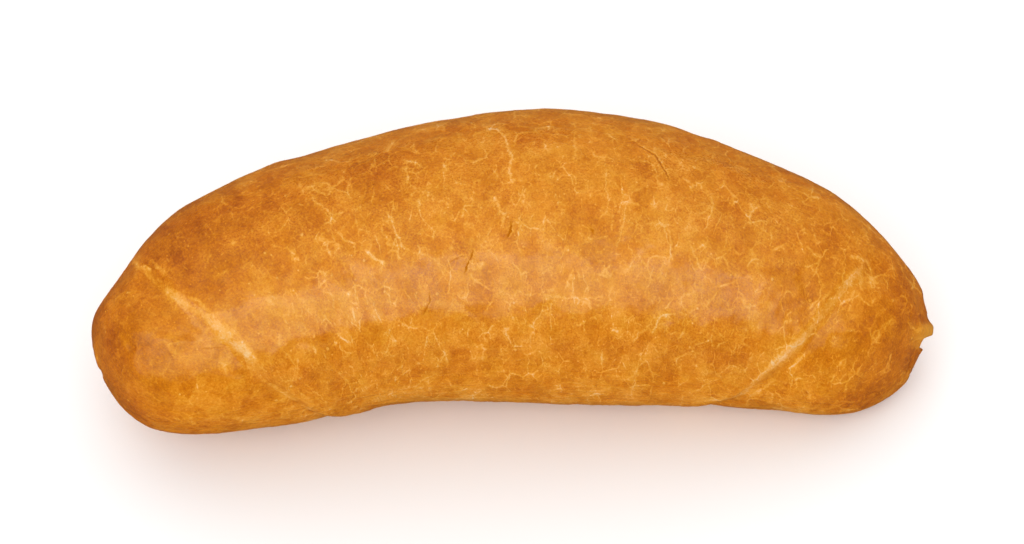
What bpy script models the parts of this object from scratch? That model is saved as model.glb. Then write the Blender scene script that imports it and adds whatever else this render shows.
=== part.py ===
"""Crescent bread roll, one solid, in metres with +Z up.

The roll lies along X. Its rounded back faces +Y and its hollow front faces -Y. It rests on a flat baked
base at z = 0, and the origin is the middle of the bottom of its bounding box.

The form starts as a finely divided cube whose points are carried to a straight, tapered sausage of dough.
The sausage is then bent along its centreline, sunk onto its base and given the relief of the crust:
uneven thickness, crust plates, the two slanted edges of the outer wrap, and the torn spot at the right tip.
"""

import math

import bmesh
import bpy
import numpy as np
from mathutils import Vector, noise

NODE_NAME = "crescent_roll"
COLLECTION_NAME = "crescent_bread_roll"

# Size and bend of the roll. A place "along" it runs from -1 at the left tip to 1 at the right tip.
HALF_LENGTH = 0.0800  # half the length of the bent centreline
LINE_STEPS = 401
HEADING_AT = (-1.0, -0.7, -0.35, 0.0, 0.35, 0.7, 1.0)
HEADING_DEG = (24.5, 30.5, 15.0, 4.0, -8.0, -19.5, -40.5)
FULLNESS_AT = (-1.0, -0.9, -0.65, -0.35, 0.0, 0.35, 0.65, 0.9, 1.0)
FULLNESS = (0.04325, 0.03425, 0.0295, 0.02725, 0.0280, 0.0290, 0.0290, 0.0345, 0.0415)
CROWN_RATIO = 0.92  # height of the crown over the section's half width
BELLY_RATIO = 0.85  # depth of the belly over the half width, before the base flattens it
AXIS_HEIGHT = 0.0205  # height of the centreline over the base, in the middle
TIP_HEIGHT = {-1.0: 0.0180, 1.0: 0.0090}  # height of the left and the right tip
TIP_LEAN = {-1.0: 0.0035, 1.0: 0.0020}  # how far each tip's end leans towards the back
TIP_LEAN_START = 0.75
BASE_ROUNDING = 0.0015  # half height of the soft edge round the flat base

# Division of the skin, and the finer patch at the right tip, as a place on the cube's end face.
CELLS_ALONG = 67
CELLS_PER_SIDE = 18
END_FACE = 0.999  # the cube's end faces lie beyond this
ROUND_OFF = 1e-6
CAP_ANGLE = math.radians(26.0)  # polar angle that each end patch covers
PROFILE_STEPS = 721
FINE_PATCH_CENTRE = (0.28, 0.06)
FINE_PATCH_HALF_SIZES = (0.38, 0.27)

# Edges of the outer wrap: an angle round the section, from the underside (-90) over the front (0), the
# crown (90) and the back (180) to the underside again, and the distance from the middle at that angle.
SEAM_ANGLE_DEG = (-90.0, -45.0, 0.0, 25.0, 45.0, 90.0, 125.0, 180.0, 270.0)
SEAM = {
    -1.0: (0.006, 0.033, 0.0491, 0.0554, 0.0584, 0.0630, 0.0644, 0.0670, 0.0710),
    1.0: (0.006, 0.031, 0.0508, 0.0578, 0.0616, 0.0651, 0.0668, 0.0690, 0.0730),
}
SLANT_STEP_DEG = 2.0  # the edges' slant is read over this step
GIRTH_RADIUS = 0.0280  # radius of the dough in its middle, where the slant is measured
LEAST_GIRTH = 0.010
FOOT_DROP = 0.0009  # how far the tip drops below the wrap at its edge
FOOT_REACH = 0.014
SEAM_SOFTNESS = 0.0014
SEAM_GROOVE = 0.00015
SEAM_GROOVE_WIDTH = 0.0015
MERGED_FROM_DEG = (105.0, 130.0)  # the wrap's edge merges with the tip over these angles, at the back
MERGED_TO_DEG = (160.0, 190.0)  # and shows again from here

# Full shoulders of the wrap, and hollows beside them: distance from the middle, angle round the section,
# reach, and height, which is below zero for a hollow.
SHOULDERS = (
    (-0.057, 135.0, 0.011, 0.0020),
    (0.057, 135.0, 0.012, 0.0020),
    (-0.072, 142.0, 0.008, -0.0008),
    (0.0735, 133.0, 0.006, -0.0005),
    (-0.025, 136.0, 0.010, -0.0005),
    (-0.0385, 147.0, 0.005, 0.0004),
)

# Uneven crust.
SWELL_SIZE = 0.024
SWELL_HEIGHT = 0.0004
LUMP_SIZE = 0.009
LUMP_HEIGHT = 0.0002
PLATE_SIZE = 0.0085
PLATE_STEP = 0.0002
PLATE_SHUFFLE = 7.0  # spreads the plates' places out, so that neighbours get heights of their own
BASE_RELIEF_START = 0.0006  # relief fades in between these heights, so the base stays flat
BASE_RELIEF_FULL = 0.0040

# Torn spot at the end of the right tip. It runs along a line that slopes down towards the back. Each part
# stands above the tip's end point by an offset across that line: a shallow dip, the loose flap, the notch
# with its flat, slanted floor, and a scrape.
TEAR_SLOPE_DEG = 55.0
TEAR_SHIFT = 0.0015
TEAR_HALF_LENGTH = 0.0055
BROW_OFFSET = 0.0113
BROW_HALF_HEIGHT = 0.0026
BROW_DEPTH = 0.0005
FLAP_OFFSET = 0.0071
FLAP_HALF_HEIGHT = 0.0015
FLAP_RISE = 0.0006
NOTCH_OFFSET = 0.00495
NOTCH_HALF_HEIGHT = 0.00122
NOTCH_FLOOR = 0.00186  # distance of the floor beyond the tip's end point
NOTCH_FLOOR_SLOPE = 0.38
SCRAPE_OFFSET = 0.0016
SCRAPE_HALF_HEIGHT = 0.0021
SCRAPE_DEPTH = 0.0004
SOFT_EDGE = 4  # powers that set how sharply a part of the tear ends
SHARP_EDGE = 8
TEAR_FACING = (0.55, 0.80)  # the tear fades out where the skin turns away from the tip's end

# Baked crust, in linear colour.
CRUST_COLOUR = (0.665, 0.235, 0.030, 1.0)
CRUST_ROUGHNESS = 0.42


def smooth_curve(stations, values, at):
    """Read a natural cubic spline through the stations at each place in "at"."""
    x = np.asarray(stations, dtype=float)
    y = np.asarray(values, dtype=float)
    count = len(x)
    gap = np.diff(x)
    slope = np.diff(y) / gap
    system = np.eye(count)
    right = np.zeros(count)
    for i in range(1, count - 1):
        system[i, i - 1:i + 2] = (gap[i - 1], 2.0 * (gap[i - 1] + gap[i]), gap[i])
        right[i] = 6.0 * (slope[i] - slope[i - 1])
    bend = np.linalg.solve(system, right)
    at = np.asarray(at, dtype=float)
    k = np.clip(np.searchsorted(x, at) - 1, 0, count - 2)
    before = at - x[k]
    after = x[k + 1] - at
    cubic = (bend[k] * after**3 + bend[k + 1] * before**3) / (6.0 * gap[k])
    linear_low = (y[k] / gap[k] - bend[k] * gap[k] / 6.0) * after
    linear_high = (y[k + 1] / gap[k] - bend[k + 1] * gap[k] / 6.0) * before
    return cubic + linear_low + linear_high


def smooth_step(low, high, value):
    """Rise smoothly from 0 at low to 1 at high."""
    t = np.clip((value - low) / (high - low), 0.0, 1.0)
    return t * t * (3.0 - 2.0 * t)


def divided_cube():
    """Make a cube from -1 to 1 whose faces are even grids, finer along X."""
    bm = bmesh.new()
    bmesh.ops.create_cube(bm, size=2.0)
    for runs_along, cuts in ((True, CELLS_ALONG - 1), (False, CELLS_PER_SIDE - 1)):
        edges = []
        for edge in bm.edges:
            run = edge.verts[0].co - edge.verts[1].co
            if (abs(run.x) > ROUND_OFF) == runs_along:
                edges.append(edge)
        bmesh.ops.subdivide_edges(bm, edges=edges, cuts=cuts, use_grid_fill=True)
    return bm


def refine_torn_tip(bm):
    """Divide the right end face twice more round the torn spot."""
    middle_y, middle_z = FINE_PATCH_CENTRE
    for half_size in FINE_PATCH_HALF_SIZES:
        edges = []
        for edge in bm.edges:
            ends = [vert.co for vert in edge.verts]
            if all(end.x > END_FACE and abs(end.y - middle_y) < half_size and abs(end.z - middle_z) < half_size
                   for end in ends):
                edges.append(edge)
        bmesh.ops.subdivide_edges(bm, edges=edges, cuts=1, use_grid_fill=True)


def profile_angles():
    """Tabulate the length of the skin from the left tip against the polar angle, for a typical fullness."""
    angle = np.linspace(0.0, math.pi, PROFILE_STEPS)
    width = float(np.mean(FULLNESS))
    speed = np.hypot(HALF_LENGTH * np.sin(angle), width * np.cos(angle))
    length = np.concatenate(([0.0], np.cumsum((speed[1:] + speed[:-1]) / 2.0 * np.diff(angle))))
    return angle, length


def dough_coordinates(cube_points):
    """Carry points of the divided cube to the skin of the straight dough.

    Returns the place along the roll (-1 to 1), the section's scale there (0 at the tips) and the angle
    round the section.
    """
    x, y, z = cube_points.T
    back = y * np.sqrt(1.0 - z**2 / 2.0)
    up = z * np.sqrt(1.0 - y**2 / 2.0)
    around = np.arctan2(up, -back)
    around = np.where(around < -math.pi / 2.0 - ROUND_OFF, around + 2.0 * math.pi, around)
    angle, length = profile_angles()
    cap_length = np.interp(CAP_ANGLE, angle, length)
    skin = cap_length + (x + 1.0) / 2.0 * (length[-1] - 2.0 * cap_length)
    cap = CAP_ANGLE * np.hypot(back, up)
    polar = np.interp(skin, length, angle)
    polar = np.where(x < -END_FACE, cap, polar)
    polar = np.where(x > END_FACE, math.pi - cap, polar)
    return -np.cos(polar), np.sin(polar), around


def bent_skin(along, section, around):
    """Bend the dough along its centreline and sink it onto its base. Returns points in metres."""
    line_at = np.linspace(-1.0, 1.0, LINE_STEPS)
    line_heading = np.radians(smooth_curve(HEADING_AT, HEADING_DEG, line_at))
    step = HALF_LENGTH * (line_at[1] - line_at[0])
    run_x = np.cumsum(np.cos(line_heading)) * step
    run_y = np.cumsum(np.sin(line_heading)) * step
    run_x -= np.interp(0.0, line_at, run_x)
    run_y -= np.interp(0.0, line_at, run_y)
    heading = np.interp(along, line_at, line_heading)
    half_width = smooth_curve(FULLNESS_AT, FULLNESS, along)
    out = -half_width * section * np.cos(around)
    rise = section * np.sin(around)
    x = np.interp(along, line_at, run_x) - np.sin(heading) * out
    y = np.interp(along, line_at, run_y) + np.cos(heading) * out
    lean = np.where(along < 0.0, TIP_LEAN[-1.0], TIP_LEAN[1.0])
    y += lean * np.clip((np.abs(along) - TIP_LEAN_START) / (1.0 - TIP_LEAN_START), 0.0, 1.0) ** 2
    tip_height = np.where(along < 0.0, TIP_HEIGHT[-1.0], TIP_HEIGHT[1.0])
    axis_height = AXIS_HEIGHT + (tip_height - AXIS_HEIGHT) * along**2
    z = axis_height + half_width * rise * np.where(rise >= 0.0, CROWN_RATIO, BELLY_RATIO)
    return np.column_stack((x, y, soft_floor(z)))


def soft_floor(z):
    """Flatten whatever would reach below the base, with a soft edge round the flat."""
    soft = (z + BASE_ROUNDING) ** 2 / (4.0 * BASE_ROUNDING)
    return np.where(z < -BASE_ROUNDING, 0.0, np.where(z > BASE_ROUNDING, z, soft))


def straight_dough(along, section, around):
    """Give the same points on the dough before it was bent, in metres."""
    half_width = smooth_curve(FULLNESS_AT, FULLNESS, along)
    across = -half_width * section * np.cos(around)
    up = half_width * section * np.sin(around)
    return np.column_stack((HALF_LENGTH * np.asarray(along), across, up))


def wrap_relief(along, section, around):
    """Lower the tips that the outer wrap's two slanted edges leave bare."""
    angle = np.degrees(around)
    girth = np.maximum(GIRTH_RADIUS * section, LEAST_GIRTH)
    total = np.zeros_like(along)
    for side, seam in SEAM.items():
        edge = smooth_curve(SEAM_ANGLE_DEG, seam, angle)
        further = smooth_curve(SEAM_ANGLE_DEG, seam, angle + SLANT_STEP_DEG)
        slant = (further - edge) / math.radians(SLANT_STEP_DEG)
        beyond = (side * along * HALF_LENGTH - edge) / np.hypot(1.0, slant / girth)
        on_tip = smooth_step(-SEAM_SOFTNESS, SEAM_SOFTNESS, beyond)
        foot = FOOT_DROP * np.exp(-np.maximum(beyond, 0.0) / FOOT_REACH) * on_tip
        groove = SEAM_GROOVE * np.exp(-((beyond - SEAM_SOFTNESS) / SEAM_GROOVE_WIDTH) ** 2)
        total -= np.where(side * along > 0.0, foot + groove, 0.0)
    merged = smooth_step(*MERGED_FROM_DEG, angle) * (1.0 - smooth_step(*MERGED_TO_DEG, angle))
    return total * (1.0 - merged)


def shoulder_relief(dough):
    """Fill out the shoulders of the outer wrap."""
    total = np.zeros(len(dough))
    for distance, angle_deg, reach, height in SHOULDERS:
        along = distance / HALF_LENGTH
        middle = straight_dough([along], math.sqrt(1.0 - along**2), math.radians(angle_deg))
        total += height * np.exp(-np.sum((dough - middle) ** 2, axis=1) / reach**2)
    return total


def crust_relief(place):
    """Give the height of the swells, lumps and plates of the crust at one point of the straight dough."""
    plate = noise.voronoi(place / PLATE_SIZE)[1][0]
    swell = SWELL_HEIGHT * noise.noise(place / SWELL_SIZE)
    lump = LUMP_HEIGHT * noise.noise(place / LUMP_SIZE)
    return swell + lump + PLATE_STEP * noise.noise(plate * PLATE_SHUFFLE)


def band(above, offset, half_height, sharpness):
    """Give the share, from 0 to 1, that one part of the tear has at a height above the tip's end."""
    return math.exp(-(((above - offset) / half_height) ** sharpness))


def tear_depth(point, normal, tip_end):
    """Say how far one point of the skin moves out along X for the torn spot at the right tip."""
    slope = math.radians(TEAR_SLOPE_DEG)
    offset = point - tip_end
    above = offset.dot(Vector((0.0, math.sin(slope), math.cos(slope))))
    along_tear = offset.dot(Vector((0.0, math.cos(slope), -math.sin(slope)))) - TEAR_SHIFT
    spread = math.exp(-((along_tear / TEAR_HALF_LENGTH) ** SOFT_EDGE))
    spread *= float(smooth_step(TEAR_FACING[0], TEAR_FACING[1], normal.x))
    floor = NOTCH_FLOOR + NOTCH_FLOOR_SLOPE * (above - NOTCH_OFFSET)
    over_floor = max(0.0, offset.x - floor)
    brow = BROW_DEPTH * band(above, BROW_OFFSET, BROW_HALF_HEIGHT, SOFT_EDGE)
    flap = FLAP_RISE * band(above, FLAP_OFFSET, FLAP_HALF_HEIGHT, SOFT_EDGE)
    notch = over_floor * band(above, NOTCH_OFFSET, NOTCH_HALF_HEIGHT, SHARP_EDGE)
    scrape = SCRAPE_DEPTH * band(above, SCRAPE_OFFSET, SCRAPE_HALF_HEIGHT, SOFT_EDGE)
    return spread * (flap - brow - notch - scrape)


def make_roll():
    """Build the roll's mesh and stand it on the origin."""
    bm = divided_cube()
    refine_torn_tip(bm)
    along, section, around = dough_coordinates(np.array([vert.co for vert in bm.verts]))
    skin = bent_skin(along, section, around)
    for vert, place in zip(bm.verts, skin):
        vert.co = place
    bmesh.ops.recalc_face_normals(bm, faces=bm.faces)
    bm.normal_update()
    dough = straight_dough(along, section, around)
    form = wrap_relief(along, section, around) + shoulder_relief(dough)
    above_base = smooth_step(BASE_RELIEF_START, BASE_RELIEF_FULL, skin[:, 2])
    tip_end = Vector(bent_skin(np.ones(1), np.zeros(1), np.zeros(1))[0])
    normals = [vert.normal.copy() for vert in bm.verts]
    for vert, normal, straight, fade, height in zip(bm.verts, normals, dough, above_base, form):
        raised = float(fade) * (crust_relief(Vector(straight)) + float(height))
        torn = tear_depth(vert.co, normal, tip_end)
        vert.co = vert.co + normal * raised + Vector((torn, 0.0, 0.0))
    low = np.min([vert.co for vert in bm.verts], axis=0)
    high = np.max([vert.co for vert in bm.verts], axis=0)
    middle = Vector(((low[0] + high[0]) / 2.0, (low[1] + high[1]) / 2.0, low[2]))
    bmesh.ops.translate(bm, verts=bm.verts, vec=-middle)
    bmesh.ops.triangulate(bm, faces=bm.faces, quad_method="SHORT_EDGE")
    mesh = bpy.data.meshes.new(NODE_NAME)
    bm.to_mesh(mesh)
    bm.free()
    mesh.shade_smooth()
    return mesh


def crust_material():
    """Golden brown, egg-washed crust."""
    material = bpy.data.materials.new("crust")
    material.use_nodes = True
    shader = material.node_tree.nodes["Principled BSDF"]
    shader.inputs["Base Color"].default_value = CRUST_COLOUR
    shader.inputs["Roughness"].default_value = CRUST_ROUGHNESS
    shader.inputs["Metallic"].default_value = 0.0
    return material


def main():
    """Clear the scene and build the roll in a collection of its own."""
    for old in list(bpy.data.objects):
        bpy.data.objects.remove(old, do_unlink=True)
    collection = bpy.data.collections.new(COLLECTION_NAME)
    bpy.context.scene.collection.children.link(collection)
    roll = bpy.data.objects.new(NODE_NAME, make_roll())
    roll.data.materials.append(crust_material())
    collection.objects.link(roll)


main()
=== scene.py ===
"""Looks of the crescent bread roll: its fine crust, its finishes, the studio and the camera.

Everything is in metres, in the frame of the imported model: +X to the right tip, +Y to the rounded back,
+Z up, with the flat base at z = 0. Patterns of the crust are laid out in millimetres on the straight
dough, as it lay before it was bent, so that they follow the roll.
"""

import logging
import math
from dataclasses import dataclass, field
from enum import Enum
from typing import ClassVar

import bmesh
import bpy
import numpy as np
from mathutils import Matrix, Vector, noise


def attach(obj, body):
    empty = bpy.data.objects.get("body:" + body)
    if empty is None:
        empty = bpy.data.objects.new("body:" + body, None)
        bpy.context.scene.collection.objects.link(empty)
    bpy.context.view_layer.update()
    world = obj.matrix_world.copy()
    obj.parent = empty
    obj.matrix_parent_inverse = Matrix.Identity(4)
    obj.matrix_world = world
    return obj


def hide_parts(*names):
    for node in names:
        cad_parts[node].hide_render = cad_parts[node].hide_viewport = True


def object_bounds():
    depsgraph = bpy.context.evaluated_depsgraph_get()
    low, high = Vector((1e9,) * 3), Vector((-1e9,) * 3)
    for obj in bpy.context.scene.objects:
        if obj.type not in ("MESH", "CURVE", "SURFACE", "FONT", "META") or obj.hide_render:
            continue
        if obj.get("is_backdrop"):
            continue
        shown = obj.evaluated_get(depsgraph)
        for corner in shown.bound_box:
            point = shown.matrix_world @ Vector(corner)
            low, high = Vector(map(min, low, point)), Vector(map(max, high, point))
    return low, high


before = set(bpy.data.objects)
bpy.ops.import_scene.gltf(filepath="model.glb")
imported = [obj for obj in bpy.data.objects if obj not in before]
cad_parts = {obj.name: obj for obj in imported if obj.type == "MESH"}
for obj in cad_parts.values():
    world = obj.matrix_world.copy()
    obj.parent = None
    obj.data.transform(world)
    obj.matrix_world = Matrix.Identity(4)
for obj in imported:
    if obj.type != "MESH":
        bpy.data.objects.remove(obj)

LOG = logging.getLogger("crescent_roll")
NODE = "crescent_roll"
MM = 0.001
END_FACE = 0.999  # the divided cube's end faces lie beyond this
ROUND_OFF = 1e-6
FACE_SIDES = 4
MIDDLE = (0.5, 0.5, 0.5)  # the middle of a noise's vector, or of a cell's colour

Socket = bpy.types.NodeSocket
Colour = tuple[float, float, float]
Weights = tuple[tuple[str, float], ...]


class Side(Enum):
    """The two tips of the roll, by the sign of X."""

    LEFT = -1.0
    RIGHT = 1.0


class Layer(Enum):
    """The two layers of drawn marks, by the first word of what they store on the mesh."""

    SEAM = "seam"
    SURFACE = "surface"

    def stored(self, name: str) -> str:
        """Name what the layer stores for one input of the marks."""
        return f"{self.value}_{name.lower().replace(' ', '_')}"


# ----------------------------------------------------------------------------------------------------
# Small tools
# ----------------------------------------------------------------------------------------------------


def smooth_curve(stations: tuple, values: tuple, at: np.ndarray) -> np.ndarray:
    """Read a natural cubic spline through the stations.

    Args:
        stations: Places of the stations, rising.
        values: The value at each station.
        at: The places to read.

    Returns:
        The curve's value at each place.
    """
    x = np.asarray(stations, dtype=float)
    y = np.asarray(values, dtype=float)
    count = len(x)
    gap = np.diff(x)
    slope = np.diff(y) / gap
    system = np.eye(count)
    right = np.zeros(count)
    for i in range(1, count - 1):
        system[i, i - 1:i + 2] = (gap[i - 1], 2.0 * (gap[i - 1] + gap[i]), gap[i])
        right[i] = 6.0 * (slope[i] - slope[i - 1])
    bend = np.linalg.solve(system, right)
    at = np.asarray(at, dtype=float)
    k = np.clip(np.searchsorted(x, at) - 1, 0, count - 2)
    before = at - x[k]
    after = x[k + 1] - at
    cubic = (bend[k] * after**3 + bend[k + 1] * before**3) / (6.0 * gap[k])
    linear_low = (y[k] / gap[k] - bend[k] * gap[k] / 6.0) * after
    linear_high = (y[k + 1] / gap[k] - bend[k + 1] * gap[k] / 6.0) * before
    return cubic + linear_low + linear_high


def smooth_step(low: float, high: float, value: np.ndarray) -> np.ndarray:
    """Rise smoothly from 0 where a value is low to 1 where it is high."""
    t = np.clip((value - low) / (high - low), 0.0, 1.0)
    return t * t * (3.0 - 2.0 * t)


def noise_field(places: np.ndarray, size: float) -> np.ndarray:
    """Read smooth noise from -1 to 1 at points, one a row, with lumps of a size in their own unit."""
    return np.array([noise.noise(Vector(place)) for place in places / size])


class Sketch:
    """Places nodes in a shader or geometry tree and wires them together."""

    def __init__(self, tree: bpy.types.NodeTree) -> None:
        """Start on the tree that takes the nodes."""
        self.tree = tree

    def add(self, kind: str, **settings: object) -> bpy.types.Node:
        """Add one node.

        Args:
            kind: The node's type name.
            **settings: Values for the node's own properties.

        Returns:
            The new node.
        """
        node = self.tree.nodes.new(kind)
        for name, value in settings.items():
            setattr(node, name, value)
        return node

    def feed(self, socket: Socket, value: object) -> None:
        """Link a socket to another, or set its constant.

        Args:
            socket: The input that takes the value.
            value: An output socket, or a plain number, vector or colour.
        """
        if isinstance(value, bpy.types.NodeSocket):
            self.tree.links.new(value, socket)
        else:
            socket.default_value = value

    def math(self, operation: str, *values: object, clamp: bool = False) -> Socket:
        """Work out one sum on numbers.

        Args:
            operation: Name of the operation.
            *values: Sockets or numbers, in order.
            clamp: Whether the result is kept within 0 and 1.

        Returns:
            The result's socket.
        """
        node = self.add("ShaderNodeMath", operation=operation, use_clamp=clamp)
        for socket, value in zip(node.inputs, values):
            self.feed(socket, value)
        return node.outputs[0]

    def total(self, *values: object) -> Socket:
        """Add up any number of values.

        Args:
            *values: Sockets or numbers.

        Returns:
            The sum's socket.
        """
        result = values[0]
        for value in values[1:]:
            result = self.math("ADD", result, value)
        return result

    def scaled(self, value: object, factor: object) -> Socket:
        """Multiply two values, each a socket or a number."""
        return self.math("MULTIPLY", value, factor)

    def weighted(self, start: object, drawn: dict[str, Socket], weights: Weights) -> Socket:
        """Add to a start what patterns drew, each named result times its weight."""
        return self.total(start, *(self.scaled(drawn[name], weight) for name, weight in weights))

    def centred(self, value: Socket, span: float) -> Socket:
        """Turn a value from 0 to 1 into one from -span to span."""
        return self.math("MULTIPLY_ADD", value, 2.0 * span, -span)

    def vector(self, operation: str, *values: object) -> Socket:
        """Work out one sum on vectors.

        Args:
            operation: Name of the operation.
            *values: Sockets or vectors, in order; SCALE takes a vector and a number.

        Returns:
            The result's socket: a number for DOT_PRODUCT, LENGTH and DISTANCE, else a vector.
        """
        node = self.add("ShaderNodeVectorMath", operation=operation)
        if operation == "SCALE":
            self.feed(node.inputs["Vector"], values[0])
            self.feed(node.inputs["Scale"], values[1])
        else:
            for socket, value in zip(node.inputs, values):
                self.feed(socket, value)
        is_number = operation in ("DOT_PRODUCT", "LENGTH", "DISTANCE")
        return node.outputs["Value" if is_number else "Vector"]

    def rise(
        self, value: Socket, low: object, high: object, to_low: object = 0.0, to_high: object = 1.0,
    ) -> Socket:
        """Ease a value from one level to another.

        Args:
            value: What is read.
            low: The value at which the rise starts.
            high: The value at which it ends; below low for a fall.
            to_low: Result at the start.
            to_high: Result at the end.

        Returns:
            The eased value's socket.
        """
        node = self.add("ShaderNodeMapRange", interpolation_type="SMOOTHSTEP", clamp=True)
        for socket, given in zip(node.inputs, (value, low, high, to_low, to_high)):
            self.feed(socket, given)
        return node.outputs[0]

    def noise(
        self, place: Socket, size: float, detail: float = 2.0, roughness: float = 0.5,
    ) -> bpy.types.Node:
        """Add noise.

        Args:
            place: Where it is read, in millimetres.
            size: Size of its largest lumps, in millimetres.
            detail: How many finer layers it has.
            roughness: How strong each finer layer is, against the one before.

        Returns:
            The node: output 0 is its value from 0 to 1 and output 1 its vector.
        """
        node = self.add("ShaderNodeTexNoise", noise_dimensions="3D")
        self.feed(node.inputs["Vector"], place)
        node.inputs["Scale"].default_value = 1.0 / size
        node.inputs["Detail"].default_value = detail
        node.inputs["Roughness"].default_value = roughness
        return node

    def waves(self, place: Socket, size: float, span: float, detail: float, roughness: float = 0.5) -> Socket:
        """Add noise that swings about zero, from -span to span."""
        return self.centred(self.noise(place, size, detail, roughness).outputs[0], span)

    def drift(
        self, place: Socket, size: float, reach: float, detail: float = 2.0, roughness: float = 0.5,
    ) -> Socket:
        """Add a vector of noise that wanders about zero, to bend a pattern by."""
        wander = self.noise(place, size, detail, roughness).outputs[1]
        return self.vector("SCALE", self.vector("SUBTRACT", wander, MIDDLE), reach)

    def cells(self, place: Socket, size: float, feature: str = "F1") -> bpy.types.Node:
        """Add cells.

        Args:
            place: Where they are read, in millimetres.
            size: Size of a cell, in millimetres.
            feature: What is read: F1 or DISTANCE_TO_EDGE.

        Returns:
            The node. Its distances are in cells.
        """
        node = self.add("ShaderNodeTexVoronoi", voronoi_dimensions="3D", feature=feature)
        self.feed(node.inputs["Vector"], place)
        node.inputs["Scale"].default_value = 1.0 / size
        return node

    def mix(self, factor: object, first: object, second: object) -> Socket:
        """Mix two colours.

        Args:
            factor: Share of the second colour, from 0 to 1.
            first: A colour or its socket.
            second: A colour or its socket.

        Returns:
            The mixed colour's socket.
        """
        node = self.add("ShaderNodeMix", data_type="RGBA", clamp_factor=True)
        given = {"Factor_Float": factor, "A_Color": first, "B_Color": second}
        for socket in node.inputs:
            if socket.identifier in given:
                self.feed(socket, given[socket.identifier])
        return next(socket for socket in node.outputs if socket.identifier == "Result_Color")

    def tinted(self, factor: object, colour: Socket, tint: object) -> Socket:
        """Multiply a colour by a tint.

        Args:
            factor: How much of the tint counts, from 0 to 1.
            colour: The colour's socket.
            tint: The tint or its socket.

        Returns:
            The tinted colour's socket.
        """
        result = self.mix(factor, colour, tint)
        result.node.blend_type = "MULTIPLY"
        return result

    def ramp(self, value: Socket, stops: tuple[tuple[float, Colour], ...]) -> Socket:
        """Turn a value into a colour.

        Args:
            value: What is read, from 0 to 1.
            stops: Places and linear colours, in rising order.

        Returns:
            The colour's socket.
        """
        node = self.add("ShaderNodeValToRGB")
        line = node.color_ramp.elements
        while len(line) < len(stops):
            line.new(1.0)
        for element, (place, colour) in zip(line, stops):
            element.position = place
            element.color = (*colour, 1.0)
        self.feed(node.inputs["Fac"], value)
        return node.outputs["Color"]

    def attribute(self, name: str, output: str = "Fac") -> Socket:
        """Read what is stored on the mesh under a name, as a number (Fac) or a Vector."""
        return self.add("ShaderNodeAttribute", attribute_name=name).outputs[output]


# ----------------------------------------------------------------------------------------------------
# The form of the roll
# ----------------------------------------------------------------------------------------------------


@dataclass(frozen=True)
class Seam:
    """One slanted edge of the outer wrap: its distance from the middle at angles round the roll."""

    side: Side
    angle_deg: tuple = (-90.0, -45.0, 0.0, 25.0, 45.0, 90.0, 125.0, 180.0, 270.0)
    distance: tuple = ()

    def beyond(self, along_m: np.ndarray, angle_deg: np.ndarray, girth: np.ndarray) -> np.ndarray:
        """Measure how far each point lies beyond the edge, towards the tip.

        Args:
            along_m: Place along the straight dough, in metres.
            angle_deg: Angle round it.
            girth: Radius of the dough there, in metres.

        Returns:
            The distance square to the edge, in metres.
        """
        look_ahead = 2.0
        edge = smooth_curve(self.angle_deg, self.distance, angle_deg)
        further = smooth_curve(self.angle_deg, self.distance, angle_deg + look_ahead)
        slant = (further - edge) / math.radians(look_ahead)
        return (self.side.value * along_m - edge) / np.hypot(1.0, slant / girth)


@dataclass(frozen=True)
class Shoulder:
    """A full spot, or a hollow if its height is below zero: distance along the dough and angle round it."""

    along: float
    angle_deg: float
    reach: float
    height: float


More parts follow.
